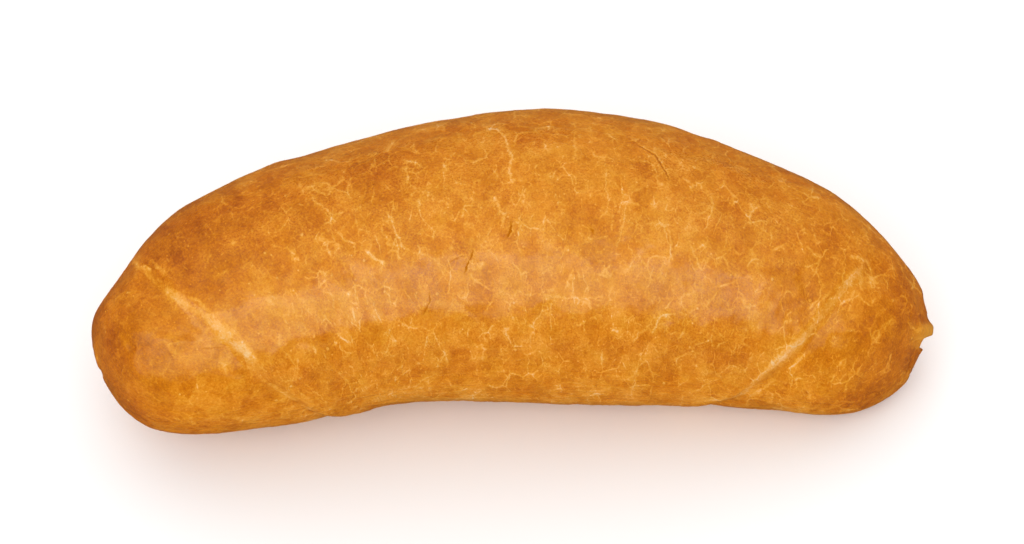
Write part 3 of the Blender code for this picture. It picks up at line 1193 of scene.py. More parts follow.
@dataclass(frozen=True)
class DrawnMarks(Pattern):
    """Single streaks, scars and cracks, drawn along lines whose distances are stored on the mesh."""

    title: ClassVar[str] = "drawn marks"
    takes: ClassVar[dict[str, str]] = {
        "Place": "NodeSocketVector",
        "Across": "NodeSocketFloat",
        "Past": "NodeSocketFloat",
        "Half Width": "NodeSocketFloat",
        "Pale": "NodeSocketFloat",
        "Dark": "NodeSocketFloat",
    }
    gives: ClassVar[tuple[str, ...]] = ("Pale", "Dark")

    wobble_size: float = 1.7
    wobble: float = 0.75
    fray_size: float = 0.5
    fray: float = 0.22
    fibre_size: float = 0.9
    pale_fibres: tuple = (0.28, 0.54, 0.50, 1.0)
    dark_fibres: tuple = (0.34, 0.52, 0.7, 1.3)
    outside: float = 1.7
    core: float = 0.2
    halo_reach: float = 2.0
    halo: float = 0.25
    end_fade: float = 0.9
    # The pale lip beside each crack is a painted highlight.
    lip_offset: float = 0.38
    lip_width: float = 0.30
    lip: float = 0.5

    def draw(self, sketch: Sketch, given: dict[str, Socket]) -> dict[str, Socket]:
        """Draw the marks.

        Args:
            sketch: Takes the nodes.
            given: The place, how far it lies across the nearest mark's line and past the line's
                ends, and that mark's half width and strengths.

        Returns:
            How pale the crust is, with the painted highlight on cracks' lips, and how dark, which is painted
            shade in cracks and pits.
        """
        place, half_width = given["Place"], given["Half Width"]
        wobble = sketch.waves(place, self.wobble_size, self.wobble, detail=3.0, roughness=0.7)
        fray = sketch.waves(place, self.fray_size, self.fray, detail=2.0, roughness=0.7)
        off = sketch.total(given["Across"], wobble, fray)
        distance = sketch.math("ABSOLUTE", off)
        fibres = sketch.noise(place, self.fibre_size, detail=3.0, roughness=0.75).outputs[0]
        ends = sketch.rise(given["Past"], self.end_fade, -self.end_fade)
        outside, inside = sketch.scaled(half_width, self.outside), sketch.scaled(half_width, self.core)
        core = sketch.scaled(sketch.rise(distance, outside, inside), ends)
        reach = sketch.math("ADD", half_width, self.halo_reach)
        halo = sketch.scaled(sketch.rise(distance, reach, 0.0), self.halo)
        # A painted highlight along one side of each crack, as strong as the crack is dark.
        lip_off = sketch.math("ABSOLUTE", sketch.math("SUBTRACT", off, self.lip_offset))
        lip = sketch.scaled(sketch.rise(lip_off, self.lip_width, 0.0), ends)
        lip = sketch.scaled(lip, sketch.scaled(given["Dark"], self.lip))
        body = sketch.scaled(core, sketch.rise(fibres, *self.pale_fibres))
        body = sketch.math("MAXIMUM", body, sketch.scaled(halo, ends))
        # The darkening inside cracks and pits is painted shade.
        dark = sketch.scaled(sketch.scaled(core, given["Dark"]), sketch.rise(fibres, *self.dark_fibres))
        return {
            "Pale": sketch.math("ADD", sketch.scaled(body, given["Pale"]), lip),
            "Dark": sketch.math("MINIMUM", dark, 1.0),
        }


# ----------------------------------------------------------------------------------------------------
# Finishes
# ----------------------------------------------------------------------------------------------------


@dataclass(frozen=True)
class GlazedCrust:
    """Egg-washed, baked crust, from deep brown to the pale dough in its fissures."""

    title: str = "glazed crust"
    shades: tuple = (
        (0.00, (0.335, 0.061, 0.0015)),
        (0.15, (0.455, 0.103, 0.0015)),
        (0.28, (0.553, 0.145, 0.002)),
        (0.42, (0.653, 0.205, 0.008)),
        (0.55, (0.735, 0.270, 0.0195)),
        (0.68, (0.795, 0.330, 0.050)),
        (0.80, (0.825, 0.395, 0.115)),
        (0.90, (0.835, 0.450, 0.175)),
        (1.00, (0.845, 0.515, 0.250)),
    )
    middle_shade: float = 0.388
    shade_weights: Weights = (
        ("Patches", 0.09),
        ("Mottle", 0.145),
        ("Grain", 0.22),
        ("Flecks", 0.11),
        ("Pits", -0.05),
        ("Tone", 0.030),
        ("Fissure", 0.10),
        ("Large", -0.036),
        ("Middle", -0.026),
        ("Small", -0.018),
        ("Veins Tone", 0.048),
        ("Fine Veins Tone", 0.028),
        ("Veins", 0.26),
        ("Fine Veins", 0.18),
        # Painted glint on the blisters.
        ("Blister Glint", 0.30),
        ("Speck", 0.24),
        ("Streak", 0.20),
        ("Lines", 0.20),
        ("Halo", 0.05),
        ("Lip", -0.12),
        # Pale includes the painted highlight on cracks' lips.
        ("Pale", 0.33),
        # Browning, lowered where highlight and bounce light are painted in.
        ("Browning And Painted Light", -0.20),
    )
    scar_shade: float = 0.92
    gold: tuple = (0.955, 1.0, 0.92, 1.0)
    gold_strength: float = 0.8
    # Painted shade: the colour that fills cracks and pits.
    crack_and_pit_shade: tuple = (0.420, 0.095, 0.002, 1.0)
    crumb: tuple = (0.760, 0.350, 0.030, 1.0)
    base_shade: float = 0.20
    base_weights: Weights = (
        ("Patches", 0.40),
        ("Mottle", 0.45),
        ("Grain", 0.50),
        ("Flecks", 0.15),
        ("Pits", -0.35),
    )
    base_brown: tuple = (0.310, 0.115, 0.018, 1.0)
    base_dullness: float = 0.50
    base_edge_size: float = 3.0
    base_edge_mm: float = 0.5
    base_heights_mm: tuple = (0.75, 0.15)
    glaze_over_mottle: tuple = (-0.5, 0.3, 0.6, 1.0)
    glaze_over_grain: tuple = (0.4, -0.4, 0.72, 1.0)
    bare_weights: Weights = (("Scar", 0.7), ("Dark", 1.5), ("Torn", 1.0))
    height_weights: Weights = (
        ("Mottle", 0.10),
        ("Veins Tone", 0.010),
        ("Fissure", 0.04),
        ("Veins", 0.03),
        ("Blister Glint", 0.08),
        ("Streak", 0.05),
        ("Lines", 0.05),
        ("Pale", 0.05),
        ("Dark", -0.045),
    )
    grain_height: float = 0.030
    roughness: float = 0.42
    glazed_roughness: float = 0.26
    specular: float = 0.5
    sheen_of_oil: tuple = (1.0, 0.90, 0.02, 1.0)
    coat_roughness: float = 0.19
    coat_ior: float = 1.68

    def marks(self, sketch: Sketch, place: Socket, layer: Layer) -> dict[str, Socket]:
        """Draw one layer of marks.

        Args:
            sketch: The material's sketch.
            place: The place on the straight dough.
            layer: The layer.

        Returns:
            How pale and how dark it is.
        """
        names = ("Across", "Past", "Half Width", "Pale", "Dark")
        given = {name: sketch.attribute(layer.stored(name)) for name in names}
        return DrawnMarks().place(sketch, Place=place, **given)

    def patterns(self, sketch: Sketch) -> dict[str, Socket]:
        """Place each pattern of the crust.

        Args:
            sketch: The material's sketch.

        Returns:
            What the patterns give, by name, and what is stored on the mesh for the finish.
        """
        place = sketch.attribute("dough", "Vector")
        beyond = sketch.attribute("beyond")
        strength = sketch.attribute("scar_strength")
        # Browning, with painted highlight and painted bounce light, as stored by the baking.
        drawn = {"Place": place, "Browning And Painted Light": sketch.attribute("browning_and_painted_light"), "Torn": sketch.attribute("torn")}
        drawn |= CrustPlates().place(sketch, Place=place)
        drawn |= CrustIslands().place(sketch, Place=place)
        drawn |= CrustGrain().place(sketch, Place=place)
        drawn |= Blisters().place(sketch, Place=place, Share=sketch.attribute("blistered"))
        drawn |= StretchLines().place(sketch, Place=place)
        drawn |= SeamScar().place(sketch, Place=place, Beyond=beyond, Strength=strength)
        drawn["Lines"] = sketch.scaled(drawn["Lines"], sketch.attribute("drawn_tight"))
        for name in ("Veins", "Fine Veins"):
            drawn[name] = sketch.scaled(drawn[name], sketch.attribute("veined"))
        layers = [self.marks(sketch, place, layer) for layer in Layer]
        for name in DrawnMarks.gives:
            drawn[name] = sketch.math("MAXIMUM", *(marks[name] for marks in layers))
        return drawn

    def underside(self, sketch: Sketch, place: Socket) -> Socket:
        """Find the baked base, which has an uneven edge.

        Args:
            sketch: The material's sketch.
            place: The place on the straight dough.

        Returns:
            Its mask, from 0 to 1.
        """
        edge = sketch.waves(place, self.base_edge_size, self.base_edge_mm, detail=3.0, roughness=0.6)
        height = sketch.math("ADD", sketch.attribute("height"), edge)
        return sketch.rise(height, *self.base_heights_mm)

    def colour(self, sketch: Sketch, drawn: dict[str, Socket], under: Socket) -> Socket:
        """Colour the crust.

        Args:
            sketch: The material's sketch.
            drawn: What the patterns give.
            under: The base's mask.

        Returns:
            The colour's socket.
        """
        shade = sketch.weighted(self.middle_shade, drawn, self.shade_weights)
        shade = sketch.math("MAXIMUM", shade, sketch.scaled(drawn["Scar"], self.scar_shade))
        gold = sketch.scaled(drawn["Gold"], self.gold_strength)
        colour = sketch.tinted(gold, sketch.ramp(shade, self.shades), self.gold)
        # Cracks and pits are darkened with painted shade.
        colour = sketch.mix(drawn["Dark"], colour, self.crack_and_pit_shade)
        colour = sketch.mix(drawn["Torn"], colour, self.crumb)
        base_shade = sketch.weighted(self.base_shade, drawn, self.base_weights)
        base = sketch.mix(self.base_dullness, sketch.ramp(base_shade, self.shades), self.base_brown)
        return sketch.mix(under, colour, base)

    def glaze(self, sketch: Sketch, drawn: dict[str, Socket], under: Socket) -> Socket:
        """Brush on the egg wash, which leaves the base and torn spots bare.

        Args:
            sketch: The material's sketch.
            drawn: What the patterns give.
            under: The base's mask.

        Returns:
            How much glaze there is, from 0 to 1.
        """
        over_mottle = sketch.rise(drawn["Mottle"], *self.glaze_over_mottle)
        over_grain = sketch.rise(drawn["Grain"], *self.glaze_over_grain)
        glaze = sketch.scaled(sketch.scaled(sketch.attribute("glazed"), over_mottle), over_grain)
        bare = sketch.weighted(under, drawn, self.bare_weights)
        return sketch.scaled(glaze, sketch.math("SUBTRACT", 1.0, bare, clamp=True))

    def fine_relief(self, sketch: Sketch, drawn: dict[str, Socket]) -> Socket:
        """Give the crust its finest relief.

        Args:
            sketch: The material's sketch.
            drawn: What the patterns give.

        Returns:
            The bent normal's socket.
        """
        bump = sketch.add("ShaderNodeBump")
        bump.inputs["Distance"].default_value = MM
        bump.inputs["Strength"].default_value = 1.0
        grain = sketch.scaled(drawn["Grain"], self.grain_height)
        sketch.feed(bump.inputs["Height"], sketch.weighted(grain, drawn, self.height_weights))
        return bump.outputs[0]

    def material(self) -> bpy.types.Material:
        """Make the material.

        Returns:
            The material.
        """
        material = bpy.data.materials.new(self.title)
        material.use_nodes = True
        sketch = Sketch(material.node_tree)
        shader = material.node_tree.nodes["Principled BSDF"]
        drawn = self.patterns(sketch)
        under = self.underside(sketch, drawn["Place"])
        glaze = self.glaze(sketch, drawn, under)
        rough = sketch.rise(glaze, 0.0, 1.0, self.roughness, self.glazed_roughness)
        sketch.feed(shader.inputs["Base Color"], self.colour(sketch, drawn, under))
        sketch.feed(shader.inputs["Roughness"], rough)
        sketch.feed(shader.inputs["Coat Weight"], glaze)
        sketch.feed(shader.inputs["Normal"], self.fine_relief(sketch, drawn))
        shader.inputs["Specular IOR Level"].default_value = self.specular
        shader.inputs["Specular Tint"].default_value = self.sheen_of_oil
        shader.inputs["Coat Roughness"].default_value = self.coat_roughness
        shader.inputs["Coat IOR"].default_value = self.coat_ior
        return material


# ----------------------------------------------------------------------------------------------------
# Marks
# ----------------------------------------------------------------------------------------------------


@dataclass(frozen=True)
class Stretch:
    """One straight stretch of a mark's line, from one of its spots to the next, in millimetres."""

    start: np.ndarray
    end: np.ndarray
    is_first: bool
    is_last: bool
    values: dict[str, tuple[float, float]]
    far_mm: float = 99.0

    @property
    def length(self) -> float:
        """The stretch's length."""
        return float(np.linalg.norm(self.end - self.start))

    @property
    def run(self) -> np.ndarray:
        """The direction from its start to its end."""
        return (self.end - self.start) / self.length

    @property
    def aside(self) -> np.ndarray:
        """The direction across it that lies in the skin."""
        outward = (self.start + self.end) / 2.0 * (0.0, 1.0, 1.0)
        aside = np.cross(outward / np.linalg.norm(outward), self.run)
        return aside / np.linalg.norm(aside)

    def distance(self, points: np.ndarray) -> np.ndarray:
        """Measure how far points on the straight dough, one a row, lie from the stretch."""
        along = np.clip((points - self.start) @ self.run, 0.0, self.length)
        return np.linalg.norm(points - self.start - along[:, None] * self.run, axis=1)

    def read(self, points: np.ndarray) -> dict[str, np.ndarray]:
        """Find where points lie beside the stretch, and the mark's values there.

        Args:
            points: Points on the straight dough.

        Returns:
            How far they lie across the line and past its ends, and the values, by name.
        """
        offset = points - self.start
        along = offset @ self.run
        past_start = -along if self.is_first else np.full_like(along, -self.far_mm)
        past_end = along - self.length if self.is_last else np.full_like(along, -self.far_mm)
        share = np.clip(along / self.length, 0.0, 1.0)
        found = {name: low + (high - low) * share for name, (low, high) in self.values.items()}
        return found | {"Across": offset @ self.aside, "Past": np.maximum(past_start, past_end)}


@dataclass(frozen=True)
class Mark:
    """One mark on the crust, along a line of spots: millimetres from the middle and degrees round.

    Its half width in millimetres and its strengths hold for the whole line, or change from spot to spot.
    """

    path: tuple
    half_width: float | tuple = 0.22
    pale: float | tuple = 0.0
    dark: float | tuple = 0.0

    def stretches(self, form: DoughForm) -> list[Stretch]:
        """Lay the mark's line on the dough.

        Args:
            form: The dough.

        Returns:
            The line's stretches, in order.
        """
        spots = [form.spot(*place) for place in self.path]
        given = {"Half Width": self.half_width, "Pale": self.pale, "Dark": self.dark}
        at_spots = {name: np.broadcast_to(value, len(spots)) for name, value in given.items()}
        last = len(spots) - 2
        stretches = []
        for i, (start, end) in enumerate(zip(spots, spots[1:])):
            values = {name: (value[i], value[i + 1]) for name, value in at_spots.items()}
            stretches.append(Stretch(start, end, i == 0, i == last, values))
        return stretches


def streak(*path: tuple[float, float], half_width: float = 0.22, pale: float = 1.15) -> Mark:
    """Make a pale streak, where the glaze split, along spots of one half width in millimetres."""
    return Mark(path, half_width, pale=pale)


def scar(*spots: tuple[float, float, float, float]) -> Mark:
    """Make a strip of opened dough along spots, each with its place, angle, half width and paleness."""
    along, angle, half_width, pale = zip(*spots)
    return Mark(tuple(zip(along, angle)), half_width, pale=pale)


def crack(*path: tuple[float, float], half_width: float = 0.14, dark: float = 0.7) -> Mark:
    """Make a crack, darkened by painted shade, with a pale lip that is a painted highlight, along spots of
    one half width in millimetres.
    """
    return Mark(path, half_width, dark=dark)


@dataclass(frozen=True)
class MarkSheet:
    """The marks that tell this roll from another, by where they are."""

    reach_mm: float = 4.0
    left_seam: tuple = (
        scar((-64.2, 142, 0.5, 0.7), (-64.8, 125, 0.5, 0.8), (-64.8, 114, 0.4, 0.6), (-64.7, 106, 0.3, 0.3),
             (-63.8, 97, 0.8, 0.9), (-63.2, 90, 1.0, 1.2), (-62.6, 84, 1.0, 1.2), (-61.4, 75, 0.8, 0.9),
             (-60.3, 66, 0.9, 0.8), (-59.5, 58, 1.1, 1.0), (-58.9, 53, 1.2, 1.4), (-57.7, 46, 1.2, 1.4),
             (-56.8, 41, 1.1, 1.3), (-56.0, 36, 0.6, 0.7)),
        scar((-56.6, 27, 0.3, 0.5), (-54.6, 18, 0.4, 0.8), (-53.0, 11, 0.4, 0.7), (-50.5, 4, 0.3, 0.5)),
    )
    right_seam: tuple = (
        scar((65.8, 104, 0.4, 0.7), (65.5, 96, 0.7, 0.7), (65.2, 90, 0.9, 0.8), (65.0, 84, 0.9, 0.6),
             (64.5, 76, 0.9, 0.9), (63.8, 68, 1.0, 0.8), (63.0, 60, 0.9, 0.75), (62.3, 53, 0.9, 0.8),
             (61.5, 46, 1.1, 1.0), (60.5, 41, 1.2, 1.3), (58.8, 34, 1.2, 1.5), (57.2, 27, 1.1, 1.5),
             (56.0, 22, 0.9, 1.1), (54.8, 17, 0.6, 0.8), (53.0, 9, 0.5, 0.5), (51.8, 1, 0.7, 1.0),
             (50.6, -3, 0.6, 0.6), (48.5, -6, 0.5, 0.6), (45.0, -8, 0.7, 0.9), (43.0, -10, 0.5, 0.5)),
    )
    seam_branches: tuple = (
        scar((-62.0, 86, 0.3, 0.7), (-60.4, 80, 0.45, 1.0), (-59.9, 73, 0.4, 0.8), (-59.4, 63, 0.3, 0.6)),
        scar((-58.4, 62, 0.25, 0.6), (-57.6, 55, 0.30, 0.8), (-56.4, 48, 0.25, 0.6)),
        scar((-61.6, 45, 0.4, 0.9), (-61.4, 35, 0.35, 0.8)),
        scar((-62.5, 122, 0.35, 0.8), (-62.4, 112, 0.4, 0.9), (-62.3, 104, 0.3, 0.6)),
        scar((60.4, 46, 0.25, 0.7), (59.3, 39, 0.35, 1.0), (57.8, 31, 0.3, 0.8), (56.6, 26, 0.25, 0.5)),
        scar((63.3, 38, 0.30, 0.8), (62.0, 31, 0.40, 1.0), (60.3, 23, 0.3, 0.7)),
        scar((63.0, 76, 0.25, 0.7), (62.1, 68, 0.30, 0.8), (61.4, 60, 0.25, 0.6)),
        scar((57.9, 14, 0.35, 0.7), (55.4, 4, 0.45, 0.9), (52.8, -4, 0.5, 0.8)),
        scar((63.0, 102, 0.4, 1.0), (64.2, 105, 0.4, 1.1), (65.8, 109, 0.35, 1.0), (67.3, 108, 0.3, 1.0)),
        scar((66.2, 100, 0.35, 0.6), (67.7, 92, 0.4, 1.0)),
        scar((70.4, 92, 0.25, 1.0), (70.9, 86, 0.25, 0.7)),
        scar((70.9, 42, 0.3, 0.9), (70.2, 35, 0.3, 1.0)),
        streak((53.2, 96), (54.8, 91), (56.1, 87), half_width=0.18, pale=0.8),
        crack((-64.0, 55), (-60.5, 50), half_width=0.10, dark=0.35),
        crack((65.9, 107), (67.3, 107), half_width=0.18, dark=0.8),
        crack((58.0, 109), (59.7, 108), half_width=0.24, dark=0.45),
    )
    left_streaks: tuple = (
        streak((-34, 101), (-34, 96), (-32.5, 91), (-32, 84)),
        streak((-32, 79), (-31, 75), (-29.5, 72), (-30, 68), half_width=0.24, pale=1.0),
        streak((-27.5, 68), (-26.5, 64), (-24.5, 61), half_width=0.36, pale=1.4),
        streak((-22, 82), (-21.5, 78), (-21, 72), (-20.3, 66), (-19, 64), pale=1.0),
        streak((-19, 64), (-16.2, 62), (-14.2, 59), (-13.3, 53), (-14.8, 50), pale=0.6),
        streak((-17.5, 128), (-19.5, 117), half_width=0.45, pale=0.7),
        streak((-17, 103), (-17, 95), (-16, 90), (-15.4, 88), pale=0.9),
        streak((-17, 108), (-15, 104), (-14.2, 101)),
        streak((-33, 118), (-31, 111), half_width=0.15, pale=0.6),
        streak((-39, 59), (-37, 61)),
        streak((-33.5, 46), (-33.5, 41), half_width=0.35, pale=1.2),
        streak((-28.5, 44), (-27.5, 37), half_width=0.14),
        streak((-38.5, 37), (-36, 32)),
        streak((-44.2, 35), (-44.4, 31), half_width=0.3),
        streak((-26, 15), (-27.5, 9), half_width=0.15, pale=0.7),
        streak((-14.8, 20), (-14.4, 14), half_width=0.30, pale=1.2),
        streak((-29.5, -7), (-25.5, -2), (-21.5, 0), (-20, 4), (-17, 8), half_width=0.16, pale=0.8),
        streak((-17, -15), (-16, -9), (-9, -4), half_width=0.16, pale=0.7),
        streak((-48.5, 18), (-45.5, 7), (-44, 0), half_width=0.16, pale=0.8),
        streak((-40.5, 19), (-38, 11), half_width=0.2, pale=0.8),
    )
    # Pale dots on the left: painted glints on small blisters.
    left_blister_glints: tuple = (
        streak((-49.4, 62), (-49.1, 61), half_width=0.5, pale=1.3),
        streak((-53.2, 58), (-53.0, 57), half_width=0.5, pale=0.9),
        streak((-50.2, 112), (-50.0, 111), half_width=0.45, pale=0.9),
        streak((-50.0, 96), (-49.7, 94), half_width=0.5, pale=1.0),
        streak((-41.3, 55), (-41.0, 54), half_width=0.4, pale=0.8),
    )
    crown_streaks: tuple = (
        streak((-1.7, 120), (-0.2, 117), (1, 110), (1.3, 105), (1.7, 99), (1, 92), (1.5, 88),
               half_width=0.30, pale=1.3),
        streak((-1.9, 82), (-1.6, 78), (-0.6, 74), (-0.9, 69), half_width=0.4, pale=1.1),
        streak((-8.8, 90), (-5.9, 87), (-3.6, 85), (-2, 83), pale=0.5),
        streak((-10.5, 101), (-10, 97)),
        streak((7.5, 110), (7.9, 104), (8.2, 101), pale=0.7),
        streak((12.9, 117), (12.7, 109), (13.1, 103), (12.7, 98), pale=0.5),
        streak((2.9, 119), (6.1, 117), (8.4, 119), (10.6, 117), pale=0.7),
        streak((18.5, 94), (18.5, 85), (19.5, 81), (19.1, 76), (18, 73), half_width=0.18, pale=0.8),
        streak((23.1, 81), (22.5, 77), (22.7, 73), (22.5, 69), (21.7, 63), half_width=0.18, pale=0.9),
        streak((1, 45), (2.5, 43), (7, 43), (10.4, 42), (14.8, 42), (20, 42), half_width=0.18, pale=0.6),
        streak((14, 52), (14.5, 49), pale=1.0),
        streak((22.1, 30), (23.5, 29), half_width=0.28, pale=1.2),
        streak((-1.7, 28), (-1, 24), (0, 21), (1.8, 21), half_width=0.22, pale=1.1),
        streak((-8.8, 23), (-6.3, 20), (-6.9, 14), pale=0.7),
        streak((10, 1), (13, 2), (18.5, 0), half_width=0.15, pale=0.7),
    )
    right_streaks: tuple = (
        streak((34.5, 40), (32, 38), (31, 33), (30.5, 30), half_width=0.25, pale=1.2),
        streak((37, 33), (36.5, 30), half_width=0.28, pale=1.2),
        streak((29.5, 24), (28.5, 17), (27.5, 4), (27, -7), half_width=0.14, pale=0.8),
        streak((23.7, 54), (25.1, 56), (26.7, 58), pale=0.6),
        streak((31.2, 74), (32.3, 68), (32.3, 62), pale=0.6),
        streak((35.9, 70), (36.5, 68), (38.4, 72), pale=0.8),
        streak((36.5, 84), (38.2, 90), (37.8, 95), pale=0.8),
        streak((32.3, 99), (34.1, 97), (33.9, 94), half_width=0.3, pale=1.0),
        streak((20, 17), (20, 14), half_width=0.28, pale=1.2),
        streak((42, 80), (42, 73), half_width=0.16, pale=0.8),
        streak((44.5, 99), (45.5, 95), pale=0.9),
        streak((44.3, 92), (46.3, 89), (48.4, 88), (50.5, 86), pale=0.5),
        streak((40, 125), (41, 113), pale=0.5),
    )
    # Cracks: painted shade inside, and a painted highlight on one lip of each.
    cracks: tuple = (
        crack((0.9, 71), (0.6, 68), (-0.2, 65), half_width=0.17, dark=0.95),
        crack((-7, 61), (-8, 57), (-9, 53), half_width=0.17, dark=0.7),
        crack((-12, 58), (-8.5, 59), half_width=0.11, dark=0.4),
        crack((-16.5, 46), (-17, 42), (-18.5, 38), half_width=0.14, dark=0.6),
        crack((23.5, 111), (25, 109), (26.7, 107), (28.5, 101), (29.6, 96), half_width=0.15, dark=0.9),
        crack((14, 136), (15, 130), half_width=0.18, dark=0.8),
        crack((6.0, 119), (9.0, 120), half_width=0.14, dark=0.6),
        crack((-48.5, -8), (-46.5, -10), half_width=0.22, dark=0.9),
    )
    # Pits: spots of painted shade.
    pits: tuple = (
        crack((16.5, 68.7), (16.9, 67.3), half_width=0.28, dark=0.9),
        crack((65.0, 8.7), (65.4, 7.3), half_width=0.30, dark=1.0),
        crack((76.1, 112.7), (76.5, 111.3), half_width=0.28, dark=0.9),
    )

    def draw(self, mesh: bpy.types.Mesh, form: DoughForm) -> None:
        """Draw both layers, which may lie over each other.

        Args:
            mesh: The roll's mesh, with its dough places.
            form: The dough that the marks lie on.
        """
        surface = (self.seam_branches + self.left_streaks + self.left_blister_glints + self.crown_streaks
                   + self.right_streaks + self.cracks + self.pits)
        self.draw_layer(mesh, form, Layer.SEAM, self.left_seam + self.right_seam)
        self.draw_layer(mesh, form, Layer.SURFACE, surface)

    def draw_layer(
        self, mesh: bpy.types.Mesh, form: DoughForm, layer: Layer, marks: tuple[Mark, ...],
    ) -> None:
        """Store on each face corner where it lies beside the nearest mark of one layer.

        Args:
            mesh: The roll's mesh, with its dough places.
            form: The dough that the marks lie on.
            layer: The layer, which names the stored values.
            marks: Its marks.
        """
        dough = read_attribute(mesh, "dough")
        corners = np.zeros(len(mesh.loops), dtype=np.int32)
        mesh.loops.foreach_get("vertex_index", corners)
        corners = corners.reshape(-1, FACE_SIDES)
        centres = dough[corners].mean(axis=1)
        nearest = np.full(len(corners), self.reach_mm)
        values = {name: np.zeros(corners.shape) for name in ("Half Width", "Pale", "Dark")}
        values |= {name: np.full(corners.shape, Stretch.far_mm) for name in ("Across", "Past")}
        for mark in marks:
            for stretch in mark.stretches(form):
                distance = stretch.distance(centres)
                chosen = np.nonzero(distance < nearest)[0]
                nearest[chosen] = distance[chosen]
                for name, value in stretch.read(dough[corners[chosen]]).items():
                    values[name][chosen] = value
        for name, value in values.items():
            store(mesh, layer.stored(name), value.ravel(), "CORNER")


# ----------------------------------------------------------------------------------------------------
# The roll
# ----------------------------------------------------------------------------------------------------


@dataclass(frozen=True)
class BrowningAndPaintedHighlightSpot:
    """A patch that the oven made browner; with a strength below zero, a paler patch of painted highlight."""

    along_mm: float
    angle_deg: float
    reach_mm: float
    strength: float

    def share(self, dough: np.ndarray, form: DoughForm) -> np.ndarray:
        """Say how much browner the spot makes points of the straight dough, in millimetres; below zero, how
        much painted highlight lightens them.
        """
        middle = form.spot(self.along_mm, self.angle_deg)
        return self.strength * np.exp(-np.sum((dough - middle) ** 2, axis=1) / self.reach_mm**2)


